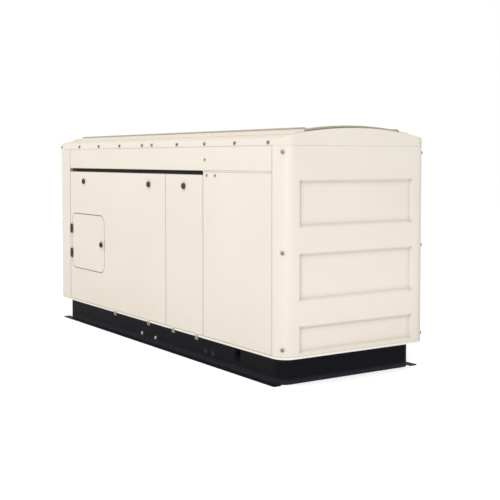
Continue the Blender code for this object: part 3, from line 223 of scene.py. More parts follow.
def powder_coat(name, shaded, lit, roughness, dust=None, sill_grime_and_shade=None, gloss=0.5, painted_seam_tone=None):
    """Baked powder on steel: two tones and a fine peel; if given, dust, grime with painted shade, painted
    seams.
    """
    finish, tree, shader, place, tone = new_finish(name, shaded, lit, roughness)
    shader.inputs["Specular IOR Level"].default_value = gloss
    patches = add_node(tree, "ShaderNodeTexNoise", {"Scale": 1 / PATCH, "Detail": 3.0}, {"Vector": place})
    tree.links.new(patches.outputs["Fac"], tone.inputs[0])
    layers = []
    if dust:
        height = {"Value": add_node(tree, "ShaderNodeSeparateXYZ", (), {0: place}).outputs["Z"]}
        low_down = {"From Min": DUST_TOP, "From Max": 0.0, "To Max": DUST_AMOUNT}
        low = add_node(tree, "ShaderNodeMapRange", low_down, height)
        fine = {"Scale": SPECKS_PER_METRE, "Detail": 6.0}
        specks = add_node(tree, "ShaderNodeTexNoise", fine, {"Vector": place}).outputs["Fac"]
        dusty = {"operation": "MULTIPLY", "use_clamp": True}
        layers.append((dust, add_node(tree, "ShaderNodeMath", dusty, {0: low, 1: specks})))
        # Sill grime and painted shade: the colour darkens below the sill's top.
        at_sill = {"From Min": SILL_TOP, "From Max": SILL_TOP - SILL_GRIME_AND_SHADE_HEIGHT, "To Max": SILL_GRIME_AND_SHADE_AMOUNT}
        layers.append((sill_grime_and_shade, add_node(tree, "ShaderNodeMapRange", at_sill, height)))
    # Painted seam tone: an occlusion mask mixes the given tone into the colour in seams and folds. On the
    # cream it is painted shade; in the black coat's inside corners it is a paler painted highlight.
    if painted_seam_tone:
        corners = add_node(tree, "ShaderNodeAmbientOcclusion", {"samples": 8, "Distance": SEAM_REACH})
        in_seam = {"From Min": SEAM_BURIED, "From Max": SEAM_OPEN, "To Min": 1.0, "To Max": 0.0}
        painted_seam_amount = add_node(tree, "ShaderNodeMapRange", in_seam, {"Value": corners.outputs["AO"]})
        layers.append((painted_seam_tone, painted_seam_amount))
    colour = tone.outputs[2]
    for tint, amount in layers:
        over = {0: amount, 6: colour}
        colour = add_node(tree, "ShaderNodeMix", {"data_type": "RGBA", 7: linear(tint)}, over).outputs[2]
    tree.links.new(colour, shader.inputs["Base Color"])
    peel = add_node(tree, "ShaderNodeTexNoise", {"Scale": 1 / PEEL, "Detail": 2.0}, {"Vector": place})
    bumps = {"Strength": 0.12, "Distance": PEEL_DEPTH}
    relief = add_node(tree, "ShaderNodeBump", bumps, {"Height": peel.outputs["Fac"]})
    if painted_seam_tone:
        fold = add_node(tree, "ShaderNodeBevel", {"samples": 6, "Radius": FOLD_SHEEN})
        tree.links.new(fold.outputs[0], relief.inputs["Normal"])
    tree.links.new(relief.outputs[0], shader.inputs["Normal"])
    rubbed = {"To Min": roughness - RUB, "To Max": roughness + RUB}
    rub = add_node(tree, "ShaderNodeMapRange", rubbed, {"Value": patches.outputs["Fac"]})
    tree.links.new(rub.outputs[0], shader.inputs["Roughness"])
    return finish


WELD, FACET_ANGLE = 1e-5, 26  # points closer than this are one; flatter joints are shaded smooth
FOLD_ANGLE, FOLD_RADIUS = 50, 0.0018
sheet = bpy.data.node_groups.new("smooth_sheet", "GeometryNodeTree")
sheet.interface.new_socket("Geometry", in_out="INPUT", socket_type="NodeSocketGeometry")
sheet.interface.new_socket("Geometry", in_out="OUTPUT", socket_type="NodeSocketGeometry")
facets = add_node(sheet, "NodeGroupInput")
facets = add_node(sheet, "GeometryNodeRemoveAttribute", {"Name": "custom_normal"}, {0: facets})
facets = add_node(sheet, "GeometryNodeMergeByDistance", {"Distance": WELD}, {0: facets})
facets = add_node(sheet, "GeometryNodeSetShadeSmooth", {"Shade Smooth": True}, {0: facets})
fold = add_node(sheet, "GeometryNodeInputMeshEdgeAngle")
steeper = {"operation": "GREATER_THAN", 1: math.radians(FACET_ANGLE)}
creases = {0: facets, "Selection": add_node(sheet, "ShaderNodeMath", steeper, {0: fold})}
sharp = {"domain": "EDGE", "Shade Smooth": False}
facets = add_node(sheet, "GeometryNodeSetShadeSmooth", sharp, creases)
add_node(sheet, "NodeGroupOutput", (), {0: facets})


def dress(finish, *names, fold_radius=0.0):
    """Gives CAD nodes their finish, shades their facets as smooth metal, and can round their folds."""
    for name in names:
        node = frame["nodes"][name]
        node.material_slots[0].material = finish
        node.modifiers.new("smooth_sheet", "NODES").node_group = sheet
        if fold_radius:
            folded = node.modifiers.new("folded_edges", "BEVEL")
            folded.width = fold_radius
            folded.segments = 2
            folded.limit_method = "ANGLE"
            folded.angle_limit = math.radians(FOLD_ANGLE)
        node.modifiers.new("flat_faces_stay_flat", "WEIGHTED_NORMAL").keep_sharp = True


# The cream's seam tone is painted shade, darkening its seams, folds and the borders of pressed fields.
cream = powder_coat(
    "cream_powder_coat", "e9dfd0", "f0e8db", 0.44, dust="d3c8b6", sill_grime_and_shade="5d5345", painted_seam_tone="beb29e"
)
roof_cream = powder_coat("roof_powder_coat", "e9dfd0", "f0e8db", 0.62, gloss=0.2)
dress(roof_cream, "roof_left", "roof_right", fold_radius=FOLD_RADIUS)
dress(roof_cream, "roof_cap")


# Roof seal: an olive-grey EPDM cord that lies on the cap on both sides of its crest and runs across
# its ends. It is put here to draw the line of shade along the crest: painted shade. Extruded rubber,
# matt, and lighter where it has weathered.
SEAL_RADIUS, SEAL_Y, SEAL_TUCK, SEAL_STEPS = 0.0050, 0.275, 0.004, 5
CROWN_RADIUS = 1.956
MOTTLES_PER_METRE = 18.0  # weather and handling mottle rubber and plastic about every 55 mm


def moulded(name, dark, light, roughness, grain, depth):
    """A moulded plastic, rubber or enamel: one colour, mottled a little, with a fine leathery grain."""
    finish, tree, shader, place, tone = new_finish(name, dark, light, roughness)
    mottles = {"Scale": MOTTLES_PER_METRE, "Detail": 4.0}
    mottle = add_node(tree, "ShaderNodeTexNoise", mottles, {"Vector": place})
    tree.links.new(mottle.outputs["Fac"], tone.inputs[0])
    pits = add_node(tree, "ShaderNodeTexVoronoi", {"Scale": 1 / grain}, {"Vector": place})
    relief = add_node(tree, "ShaderNodeBump", {"Strength": 0.25, "Distance": depth}, {"Height": pits})
    tree.links.new(relief.outputs[0], shader.inputs["Normal"])
    return finish


def put_on(name, shape, finish, body):
    """Makes one piece of a finished shape, in its finish, and lets it ride on a body."""
    shape.materials.append(finish)
    piece = bpy.data.objects.new(name, shape)
    scene.collection.objects.link(piece)
    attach(piece, body)
    return piece


def line(name, points, radius, finish, body, closed=False, smooth=True):
    """A cord, hose or wire: a round section that follows the points."""
    path = bpy.data.curves.new(name, "CURVE")
    path.dimensions = "3D"
    path.bevel_depth = radius
    path.bevel_resolution = 3
    path.use_fill_caps = True
    spline = path.splines.new("NURBS" if smooth else "POLY")
    spline.points.add(len(points) - 1)
    for knot, point in zip(spline.points, points):
        knot.co = (*point, 1)
    spline.use_cyclic_u = closed
    if smooth:
        spline.order_u = 4
        spline.use_endpoint_u = True
        spline.resolution_u = 6
    return put_on(name, path, finish, body)


# The cord's olive-grey draws a dark line along the cap's crest: painted shade.
shade_line_epdm = moulded("weathered_epdm_shade_line", "a09a88", "b4ae9d", 0.72, 0.002, 0.0002)
cap_low, cap_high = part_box("roof_cap")
loop = []
for side in (-1, 1):
    sunk = cap_high.z - CROWN_RADIUS + math.sqrt(CROWN_RADIUS**2 - SEAL_Y**2)
    for end in (-side, side):
        loop.append((end * (cap_high.x - SEAL_TUCK), side * SEAL_Y, sunk + 0.6 * SEAL_RADIUS))
    for i in range(2 * SEAL_STEPS + 1):
        y = side * SEAL_Y * (1 - i / SEAL_STEPS)
        z = cap_high.z - SEAL_RADIUS - CROWN_RADIUS + math.sqrt(CROWN_RADIUS**2 - y**2)
        loop.append((side * (cap_high.x + SEAL_RADIUS), y, z))
line("roof_edge_seal_shade_line", loop, SEAL_RADIUS, shade_line_epdm, "root", closed=True, smooth=False)


# Roof screws: self-drilling hex flange screws, zinc plated and dulled, five along the skirt of each
# roof half, on both long sides. The outermost ones sit where the round corners begin.
SCREW_FLANGE, SCREW_ACROSS, SCREW_HEIGHT, SCREW_CHAMFER = 0.0085, 0.0110, 0.0052, 0.0008
ROOF_SCREW_Z = 1.088
ROOF_SCREW_ROWS = ((-1.192, 0.2785), (0.035, 0.2750))
HALF_LENGTH, HALF_WIDTH, CORNER = 1.244, 0.430, 0.070
CRYSTAL_SHINE, CRYSTAL_DULL = 0.10, 0.12  # how far zinc crystals differ in roughness either way


def facing(place, direction):
    """The matrix that stands a shape on a place, its own +Z along the direction."""
    return Matrix.Translation(place) @ Vector(direction).to_track_quat("Z", "Y").to_matrix().to_4x4()


def add_turned(shapes, place, direction, profile, steps=20, ring=False):
    """Adds a solid turned round an axis, from (radius, height) pairs that run up its outside."""
    stand = facing(place, direction)
    rings = []
    for radius, height in profile:
        turns = [2 * math.pi * i / steps for i in range(steps)]
        points = [stand @ Vector((radius * math.cos(a), radius * math.sin(a), height)) for a in turns]
        rings.append([shapes.verts.new(point) for point in points])
    ends = rings[1:] + rings[:1] if ring else rings[1:]
    for low, high in zip(rings, ends):
        for i in range(steps):
            j = (i + 1) % steps
            shapes.faces.new((low[i], low[j], high[j], high[i]))
    if not ring:
        shapes.faces.new(rings[0][::-1])
        shapes.faces.new(rings[-1])


def add_hex_screw(shapes, place, direction, size=1.0):
    """Adds a flange and, on it, a hexagonal head with a chamfered top."""
    flange, height = SCREW_FLANGE * size, SCREW_HEIGHT * size
    rim = 0.25 * height
    washer = [(flange, 0), (flange, 0.6 * rim), (0.8 * flange, rim)]
    add_turned(shapes, place, direction, washer)
    corner = SCREW_ACROSS * size / math.sqrt(3)
    head = [(corner, 0.9 * rim), (corner, height - SCREW_CHAMFER * size), (0.8 * corner, height)]
    add_turned(shapes, place, direction, head, steps=6)


def add_block(shapes, low, high, round_by=0.0, stand=None):
    """Adds a box between two corners, its edges rounded, and stood on another place if one is given."""
    low, high = Vector(low), Vector(high)
    size = high - low
    matrix = Matrix.Translation((low + high) / 2) @ Matrix.Diagonal((*size, 1))
    made = bmesh.ops.create_cube(shapes, size=1.0, matrix=matrix)
    if round_by:
        edges = list({edge for vert in made["verts"] for edge in vert.link_edges})
        made = bmesh.ops.bevel(shapes, geom=edges, offset=round_by, segments=2, profile=0.5, affect="EDGES")
    if stand is not None:
        bmesh.ops.transform(shapes, matrix=stand, verts=made["verts"])


def add_pad(shapes, middle, half, low, high, round_by=0.0):
    """Adds a block centred on a place in plan, between two heights."""
    (x, y), (half_x, half_y) = middle, half
    add_block(shapes, (x - half_x, y - half_y, low), (x + half_x, y + half_y, high), round_by)


def add_plate(shapes, outline, stand, thick):
    """Adds a flat plate: an outline in a plane, stood on a place, and its thickness."""
    low = [shapes.verts.new(stand @ Vector((x, y, 0))) for x, y in outline]
    high = [shapes.verts.new(stand @ Vector((x, y, thick))) for x, y in outline]
    shapes.faces.new(low[::-1])
    shapes.faces.new(high)
    for i in range(len(outline)):
        j = (i + 1) % len(outline)
        shapes.faces.new((low[i], low[j], high[j], high[i]))


def new_piece(name, shapes, finish, body, crease=35.0):
    """Makes one piece of the shapes, its faces turned outwards and shaded smooth up to a crease."""
    mesh = bpy.data.meshes.new(name)
    bmesh.ops.recalc_face_normals(shapes, faces=shapes.faces)
    shapes.to_mesh(mesh)
    shapes.free()
    mesh.shade_smooth()
    mesh.set_sharp_from_angle(angle=math.radians(crease))
    return put_on(name, mesh, finish, body)


def plated(name, dark, light, roughness, cell):
    """Zinc on steel: bare metal in flat crystals, each with its own tone and its own shine."""
    finish, tree, shader, place, tone = new_finish(name, dark, light, roughness, 1.0)
    crystals = add_node(tree, "ShaderNodeTexVoronoi", {"Scale": 1 / cell}, {"Vector": place})
    grey = add_node(tree, "ShaderNodeSeparateColor", (), {0: crystals.outputs["Color"]}).outputs[0]
    tree.links.new(grey, tone.inputs[0])
    shines = {"To Min": roughness - CRYSTAL_SHINE, "To Max": roughness + CRYSTAL_DULL}
    shine = add_node(tree, "ShaderNodeMapRange", shines, {"Value": grey})
    tree.links.new(shine.outputs[0], shader.inputs["Roughness"])
    return finish


def skirt_place(x, side, z):
    """A point on the cabinet's long side and the way out of it, round the corner near either end."""
    past = abs(x) - (HALF_LENGTH - CORNER)
    if past <= 0:
        return (x, side * HALF_WIDTH, z), (0, side, 0)
    out = math.sqrt(CORNER**2 - past**2)
    return (x, side * (HALF_WIDTH - CORNER + out), z), (math.copysign(past, x), side * out, 0)


zinc = plated("dull_zinc_plate", "77756f", "a5a39b", 0.42, 0.004)
shapes = bmesh.new()
for side in (-1, 1):
    for start, pitch in ROOF_SCREW_ROWS:
        for i in range(5):
            add_hex_screw(shapes, *skirt_place(start + i * pitch, side, ROOF_SCREW_Z), size=1.1)
new_piece("roof_screws", shapes, zinc, "root")


# Panel screws: the same screws at three heights on each round corner, and three by the end of the
# air slot, where the band over it meets the fixed panel.
CORNER_SCREW_Z = (0.170, 0.600, 1.045)
CORNER_SCREW_TURN = 43.0
HEADER_SCREWS = ((0.589, 1.010), (0.607, 0.934), (0.685, 0.934))
shapes = bmesh.new()
turn = math.radians(CORNER_SCREW_TURN)
for end in (-1, 1):
    for side in (-1, 1):
        out = Vector((end * math.sin(turn), side * math.cos(turn), 0))
        middle = Vector((end * (HALF_LENGTH - CORNER), side * (HALF_WIDTH - CORNER), 0))
        for z in CORNER_SCREW_Z:
            place = middle + CORNER * out + Vector((0, 0, z))
            add_hex_screw(shapes, place, out, size=1.0)
for x, z in HEADER_SCREWS:
    add_hex_screw(shapes, (x, -HALF_WIDTH, z), (0, -1, 0), size=0.8)
new_piece("panel_screws", shapes, zinc, "root")


# Panels and doors: the same coated sheet as the roof, folded back round every edge. The sill under
# them is a thin coated frame, painted a shade paler: a painted highlight for the light along its lip.
fronts = ("door_main", "door_narrow", "fixed_panel_front", "header_front")
others = ("end_panel_left", "end_panel_right", "rear_panel_left", "rear_panel_right", "access_door")
dress(cream, *fronts, *others, fold_radius=FOLD_RADIUS)
# The sill's paler tones are a painted highlight along its lip.
sill_cream_painted_highlight = powder_coat("sill_powder_coat_painted_highlight", "f0e8dc", "f7f1e7", 0.40)
dress(sill_cream_painted_highlight, "sill_frame")


# Seam gaskets: flat EPDM strips glued to the folded edge of one panel, set just inside the face, so
# that no light or sound gets through the 3 mm seams. Each strip leaves 1 mm for the door to pass.
GASKET_FACE, GASKET_BACK, GASKET_WIDTH = 0.4290, 0.4220, 0.002
SEAM, SEAM_END, DOOR_PASS = 0.003, 0.002, 0.001
main_low, main_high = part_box("door_main")
fixed_low, fixed_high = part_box("fixed_panel_front")
header_low, header_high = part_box("header_front")
seam_low, door_top = SILL_TOP + SEAM_END, main_high.z - SEAM_END
pale_epdm = moulded("pale_epdm_foam", "c6c0ae", "d8d2c3", 0.80, 0.001, 0.0002)
strips = (
    ("gasket_main_door", "main_door", ((main_high.x, seam_low, main_high.x + GASKET_WIDTH, door_top),)),
    (
        "gaskets_fixed",
        "root",
        (
            (main_low.x - SEAM, seam_low, main_low.x - DOOR_PASS, door_top),
            (fixed_low.x - GASKET_WIDTH, seam_low, fixed_low.x, door_top),
            (fixed_high.x, seam_low, fixed_high.x + SEAM, header_high.z),
            (main_low.x - SEAM, header_low.z, main_low.x, header_high.z),
        ),
    ),
)
for name, body, edges in strips:
    shapes = bmesh.new()
    for left, bottom, right, top in edges:
        add_block(shapes, (left, -GASKET_FACE, bottom), (right, -GASKET_BACK, top))
    new_piece(name, shapes, pale_epdm, body)


# Header joint cover: a flat strip of thin coated sheet, glued over the joint between the fixed panel
# and the band above it. It laps both by 1.5 mm, so that rain stays out and the joint hardly shows.
COVER_INSET, COVER_LAP, COVER_SHEET, COVER_ROUND = 0.001, 0.0015, 0.0005, 0.0002
shapes = bmesh.new()
cover_low = (fixed_low.x + COVER_INSET, -HALF_WIDTH - COVER_SHEET, fixed_high.z - COVER_LAP)
cover_high = (fixed_high.x - COVER_INSET, -HALF_WIDTH, header_low.z + COVER_LAP)
add_block(shapes, cover_low, cover_high, COVER_ROUND)
new_piece("header_joint_cover", shapes, roof_cream, "root")


# Roof joint bead: sealant drawn round the whole cabinet in the joint under the roof and painted over
# with the roof's cream, so that the joint shows as a faint line only.
BEAD_RADIUS, BEAD_INSET, BEAD_Z, BEAD_STEPS = 0.0011, 0.0012, 1.0750, 8
reach = CORNER - BEAD_INSET
joint = []
for i, (end, side) in enumerate(((1, -1), (1, 1), (-1, 1), (-1, -1))):
    for j in range(BEAD_STEPS + 1):
        a = math.radians(90 * (i - 1) + 90 * j / BEAD_STEPS)
        x = end * (HALF_LENGTH - CORNER) + reach * math.cos(a)
        joint.append((x, side * (HALF_WIDTH - CORNER) + reach * math.sin(a), BEAD_Z))
line("roof_joint_bead", joint, BEAD_RADIUS, roof_cream, "root", closed=True, smooth=False)


# Access door pull: a small rounded tab of the same coated steel, spot-welded beside the latch, that a
# fingertip pulls the door open by.
PULL_LEFT, PULL_RIGHT, PULL_BOTTOM, PULL_TOP = -0.572, -0.5605, 0.482, 0.536
PULL_PROUD, PULL_ROUND = 0.0026, 0.0012
shapes = bmesh.new()
pull_low = (PULL_LEFT, -HALF_WIDTH - PULL_PROUD, PULL_BOTTOM)
add_block(shapes, pull_low, (PULL_RIGHT, -HALF_WIDTH, PULL_TOP), PULL_ROUND)
new_piece("access_door_pull", shapes, cream, "control_door")


# Discharge grille: slotted steel sheet in black powder coat, set in a window of the cap above the
# radiator. The coat has little gloss and dust turns it slightly grey, and its inside corners are painted
# paler: a painted highlight like the light that fillets catch.
black_coat = powder_coat(
    "black_powder_coat", "040509", "090a0f", 0.50, "17161b", "17161b", gloss=0.05, painted_seam_tone="2b2a31"
)
dress(black_coat, "discharge_grille")


# Base: pressed rails and bent end plates in satin black chassis paint, dusty near the ground. Two
# bright zinc bolts hold a cross member to the front web.
WEB_Y = 0.388
BASE_BOLTS = ((-0.163, 0.040), (-0.006, 0.037))
dress(black_coat, "base_rail_front", "base_rail_rear", "base_end_left", "base_end_right")
dress(black_coat, "cross_member_left", "cross_member_right")
shapes = bmesh.new()
for x, z in BASE_BOLTS:
    add_hex_screw(shapes, (x, -WEB_Y, z), (0, -1, 0), size=1.25)
bright_zinc = plated("bright_zinc_plate", "a9adb3", "d2d6da", 0.30, 0.003)
new_piece("base_bolts", shapes, bright_zinc, "root")


# Base hole plugs: two EPDM cups pressed into spare holes of the front web, beside the lifting slot.
# Moulded rubber, matt and black, with a dished face.
BASE_PLUGS = ((0.526, 0.050), (0.594, 0.050))
rubber = moulded("black_epdm", "141415", "222223", 0.70, 0.0015, 0.0002)
cup = [(0.011, 0), (0.011, 0.0015), (0.009, 0.0025), (0.007, 0.0025), (0.006, 0.0010)]
shapes = bmesh.new()
for x, z in BASE_PLUGS:
    add_turned(shapes, (x, -WEB_Y, z), (0, -1, 0), cup)
new_piece("base_hole_plugs", shapes, rubber, "root")


# Lifting pocket: 1.5 mm sheet folded and welded between the lifting slots of the two rails, so that a
# lifting bar finds its way through. Painted with the base.
SLOT_LEFT, SLOT_RIGHT, SLOT_LOW, SLOT_HIGH = 0.801, 0.846, 0.048, 0.108
POCKET_SHEET, POCKET_END = 0.0015, 0.3825
pocket_left, pocket_right = SLOT_LEFT - POCKET_SHEET, SLOT_RIGHT + POCKET_SHEET
pocket = (
    (pocket_left, SLOT_LEFT, SLOT_LOW, SLOT_HIGH),
    (SLOT_RIGHT, pocket_right, SLOT_LOW, SLOT_HIGH),
    (pocket_left, pocket_right, SLOT_HIGH, SLOT_HIGH + POCKET_SHEET),
    (pocket_left, pocket_right, SLOT_LOW - POCKET_SHEET, SLOT_LOW),
)
shapes = bmesh.new()
for left, right, bottom, top in pocket:
    add_block(shapes, (left, -POCKET_END, bottom), (right, POCKET_END, top))
new_piece("lifting_pocket", shapes, black_coat, "root")


# Quarter-turn latches: black die-cast heads, satin from e-coat, with a wing in a round dish. Each has
# a shaft through the panel and a cam with a round end behind it, turned clear of its catch at rest.
LATCH_RADIUS, LATCH_PROUD = 0.015, 0.0096
DISH_RADIUS, DISH_HEIGHT = 0.0112, 0.0052
WING_LENGTH, WING_WIDTH = 0.0185, 0.0042
LATCH_SHAFT, CAM_HALF, CAM_THICK, CAM_STEPS = 0.0058, 0.008, 0.004, 8
die_cast = moulded("black_die_cast", "1d1a19", "302b28", 0.38, 0.0016, 0.0001)
for node, body, level in (
    ("latch_main_left", "main_latch_left", True),
    ("latch_main_right", "main_latch_right", True),
    ("latch_narrow", "narrow_latch", True),
    ("access_latch", "control_latch", False),
):
    low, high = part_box(node)
    middle_x = low.x + LATCH_RADIUS
    middle_z = (low.z + high.z) / 2 if level else low.z + LATCH_RADIUS
    place = (middle_x, -HALF_WIDTH, middle_z)
    shapes = bmesh.new()
    head = [
        (0.0060, 0.0004),
        (LATCH_RADIUS - 0.0004, 0.0004),
        (LATCH_RADIUS, 0.0012),
        (LATCH_RADIUS, 0.0058),
        (LATCH_RADIUS - 0.0012, 0.0080),
        (DISH_RADIUS + 0.0010, 0.0088),
        (DISH_RADIUS, 0.0080),
        (DISH_RADIUS - 0.0006, DISH_HEIGHT),
    ]
    add_turned(shapes, place, (0, -1, 0), head, steps=32)
    length, width = (WING_LENGTH, WING_WIDTH) if level else (WING_WIDTH, WING_LENGTH)
    wing_low = (middle_x - length / 2, -HALF_WIDTH - LATCH_PROUD, middle_z - width / 2)
    wing_high = (middle_x + length / 2, -HALF_WIDTH - DISH_HEIGHT + 0.0004, middle_z + width / 2)
    add_block(shapes, wing_low, wing_high, 0.0010)
    shaft_length = high.y + HALF_WIDTH - CAM_THICK / 2
    shaft = [(LATCH_SHAFT, -0.0005), (LATCH_SHAFT, shaft_length)]
    add_turned(shapes, (middle_x, -HALF_WIDTH, middle_z), (0, 1, 0), shaft, steps=16)
    reach = (high.x - middle_x if level else high.z - middle_z) - CAM_HALF
    outline = []
    for centre, start in ((reach, -90), (0.0, 90)):
        for i in range(CAM_STEPS + 1):
            a = math.radians(start + 180 * i / CAM_STEPS)
            outline.append((centre + CAM_HALF * math.cos(a), CAM_HALF * math.sin(a)))
    if not level:
        outline = [(-y, x) for x, y in outline]
    stand = Matrix.Translation((middle_x, high.y, middle_z)) @ Matrix.Rotation(math.pi / 2, 4, "X")
    add_plate(shapes, outline, stand, CAM_THICK)
    latch = new_piece(f"{node}_head_and_cam", shapes, die_cast, body, crease=30)
    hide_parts(node)


# Hinges of the access door: black die-cast leaves, satin like the latches, each held by two zinc
# button-head screws with a small recess.
LEAF_SCREW_SPREAD, LEAF_SCREW_INSET, LEAF_PROUD = 0.017, 0.008, 0.003
dress(die_cast, "hinge_upper_fixed", "hinge_upper_moving", "hinge_lower_fixed", "hinge_lower_moving")
button = [(0.0040, -0.0002), (0.0040, 0.0006), (0.0033, 0.0016), (0.0017, 0.0019), (0.0014, 0.0010)]
for leaf, body in (("fixed", "main_door"), ("moving", "control_door")):
    shapes = bmesh.new()
    for hinge in ("hinge_upper", "hinge_lower"):
        low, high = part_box(f"{hinge}_{leaf}")
        screw_x = low.x + LEAF_SCREW_INSET if leaf == "fixed" else high.x - LEAF_SCREW_INSET
        for spread in (-LEAF_SCREW_SPREAD, LEAF_SCREW_SPREAD):
            place = (screw_x, -HALF_WIDTH - LEAF_PROUD, (low.z + high.z) / 2 + spread)
            add_turned(shapes, place, (0, -1, 0), button, steps=16)
    new_piece(f"hinge_screws_{leaf}", shapes, zinc, body)


# Intake louvres: a folded blade behind each slot of the left end, lipped against the sheet and rising
# inwards, so that air comes in and rain and light don't. Plain galvanised sheet, 1.2 mm thick.
LOUVRE_ROWS, LOUVRE_PITCH, LOUVRE_BOTTOM = 13, 0.054, 0.260
LOUVRE_HALF, LOUVRE_GAP, SHEET = 0.290, 0.0003, 0.002
blade = [(0, -0.010), (0.0012, -0.010), (0.0012, -0.001), (0.0215, 0.0225), (0.0215, 0.0245), (0, 0.001)]
shapes = bmesh.new()
for i in range(LOUVRE_ROWS):
    foot = (-HALF_LENGTH + SHEET + LOUVRE_GAP, LOUVRE_HALF, LOUVRE_BOTTOM + i * LOUVRE_PITCH)
    stand = Matrix.Translation(foot) @ Matrix.Rotation(math.pi / 2, 4, "X")
    add_plate(shapes, blade, stand, 2 * LOUVRE_HALF)
spangle = plated("galvanised_spangle", "878b8e", "b4b8ba", 0.40, 0.012)
new_piece("intake_louvres", shapes, spangle, "root")


# Frame: corner posts, the latch rail and the bulkhead, left in bare galvanised sheet with the frosty
# spangle of hot-dip zinc.
dress(spangle, "corner_post_front_left", "corner_post_front_right", "corner_post_rear_left")
dress(spangle, "corner_post_rear_right", "latch_rail_front", "bulkhead")


# Base pan: a tray of the same galvanised sheet, 1.5 mm thick with a 15 mm lip, welded in the foot of
# the base to catch oil and coolant. Its lips stand against the rails and the end plates.
PAN_X, PAN_Y, PAN_BOTTOM, PAN_SHEET, PAN_LIP = 1.1185, 0.3825, 0.0060, 0.0015, 0.015
shapes = bmesh.new()
add_block(shapes, (-PAN_X, -PAN_Y, PAN_BOTTOM), (PAN_X, PAN_Y, PAN_BOTTOM + PAN_SHEET))
half, low, high = PAN_SHEET / 2, PAN_BOTTOM + PAN_SHEET, PAN_BOTTOM + PAN_LIP
for side in (-1, 1):
    x, y = side * (PAN_X - half), side * (PAN_Y - half)
    add_block(shapes, (-PAN_X, y - half, low), (PAN_X, y + half, high))
    add_block(shapes, (x - half, -PAN_Y + PAN_SHEET, low), (x + half, PAN_Y - PAN_SHEET, high))
new_piece("base_pan", shapes, spangle, "root")


# Air slot strip: charcoal foam glued on the latch rail and on the left corner post, behind the air
# slot. Open-cell polyurethane: quite matt, with pores painted darker in their hollows, painted shade,
# and lighter on their walls.
FOAM_CELL, FOAM_CELL_DEPTH = 0.0016, 0.0008
STRIP_FRONT, STRIP_BACK, STRIP_HEIGHT = 0.390, 0.375, 0.024
POST_STRIP_SHEET, POST_STRIP_BOTTOM, POST_STRIP_TOP = 0.0011, 0.9375, 0.9545
foam, tree, shader, place, tone = new_finish("charcoal_foam", "26262a", "4b4b50", 0.95)
pores_painted_shade = add_node(tree, "ShaderNodeTexVoronoi", {"Scale": 1 / FOAM_CELL}, {"Vector": place})
# The pores' hollows are painted darker than their walls: painted shade.
tree.links.new(pores_painted_shade.outputs["Distance"], tone.inputs[0])
relief = add_node(tree, "ShaderNodeBump", {"Strength": 0.6, "Distance": FOAM_CELL_DEPTH}, {"Height": pores_painted_shade})
tree.links.new(relief.outputs[0], shader.inputs["Normal"])
rail_low, rail_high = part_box("latch_rail_front")
post_low, post_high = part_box("corner_post_front_left")
shapes = bmesh.new()
strip_low = (rail_low.x, -STRIP_FRONT, rail_high.z)
add_block(shapes, strip_low, (rail_high.x, -STRIP_BACK, rail_high.z + STRIP_HEIGHT))
strip_low = (main_low.x, post_low.y - POST_STRIP_SHEET, POST_STRIP_BOTTOM)
add_block(shapes, strip_low, (post_high.x, post_low.y, POST_STRIP_TOP))
new_piece("air_slot_foam_strip", shapes, foam, "root")


# Sound lining: the same foam, convoluted, glued inside the doors and panels. It is 20 mm deep at its
# peaks, which stand 50 mm apart, and darker down in the valleys.
FOAM_DEPTH, FOAM_SWELL, FOAM_PITCH, FOAM_STEP = 0.013, 0.007, 0.050, 0.0125
FOAM_GLUE = 0.0006


def add_foam(shapes, low, high, side):
    """Adds a slab that stands on a wall at y = side * low[1], its face a field of round peaks."""
    wide = max(2, round((high[0] - low[0]) / FOAM_STEP))
    tall = max(2, round((high[2] - low[2]) / FOAM_STEP))
    rows = []
    for j in range(tall + 1):
        row = []
        for i in range(wide + 1):
            x = low[0] + (high[0] - low[0]) * i / wide
            z = low[2] + (high[2] - low[2]) * j / tall
            swell = math.sin(math.pi * x / FOAM_PITCH) * math.sin(math.pi * z / FOAM_PITCH)
            at_edge = i in (0, wide) or j in (0, tall)
            depth = 0.0 if at_edge else FOAM_DEPTH + FOAM_SWELL * swell
            row.append(shapes.verts.new((x, side * (low[1] - depth), z)))
        rows.append(row)
    for lower, upper in zip(rows, rows[1:]):
        for i in range(wide):
            shapes.faces.new((lower[i], lower[i + 1], upper[i + 1], upper[i]))
    left_side, right_side = [row[0] for row in rows], [row[-1] for row in rows]
    shapes.faces.new(left_side + rows[-1][1:] + right_side[-2::-1] + rows[0][-2:0:-1])


inside = HALF_WIDTH - SHEET - FOAM_GLUE
linings = (
    ("foam_main_door", "main_door", -1, ((-0.530, 0.165, 0.165, 0.825), (-1.020, -0.560, 0.700, 0.825))),
    ("foam_narrow_door", "narrow_door", -1, ((0.205, 0.550, 0.165, 0.825),)),
    ("foam_fixed_panel", "root", -1, ((0.650, 1.120, 0.180, 0.800),)),
    ("foam_rear", "root", 1, ((-0.980, 0.500, 0.180, 0.640), (0.660, 1.080, 0.180, 0.640))),
)
for name, body, side, slabs in linings:
    shapes = bmesh.new()
    for left, right, bottom, top in slabs:
        add_foam(shapes, (left, inside, bottom), (right, inside, top), side)
    new_piece(name, shapes, foam, body, crease=60)


# Engine: a four-cylinder block in grey enamel with bare aluminium castings on it, a cast iron
# manifold that has browned with heat, and a pressed black sump. Zinc screws hold the covers down.
COVER_SCREW_Y, FLANGE_INSET = 0.066, 0.014


def spread(low, high, inset, count):
    """Places evenly spread between two ends, the outer ones set in from them."""
    return [low + inset + i * (high - low - 2 * inset) / (count - 1) for i in range(count)]


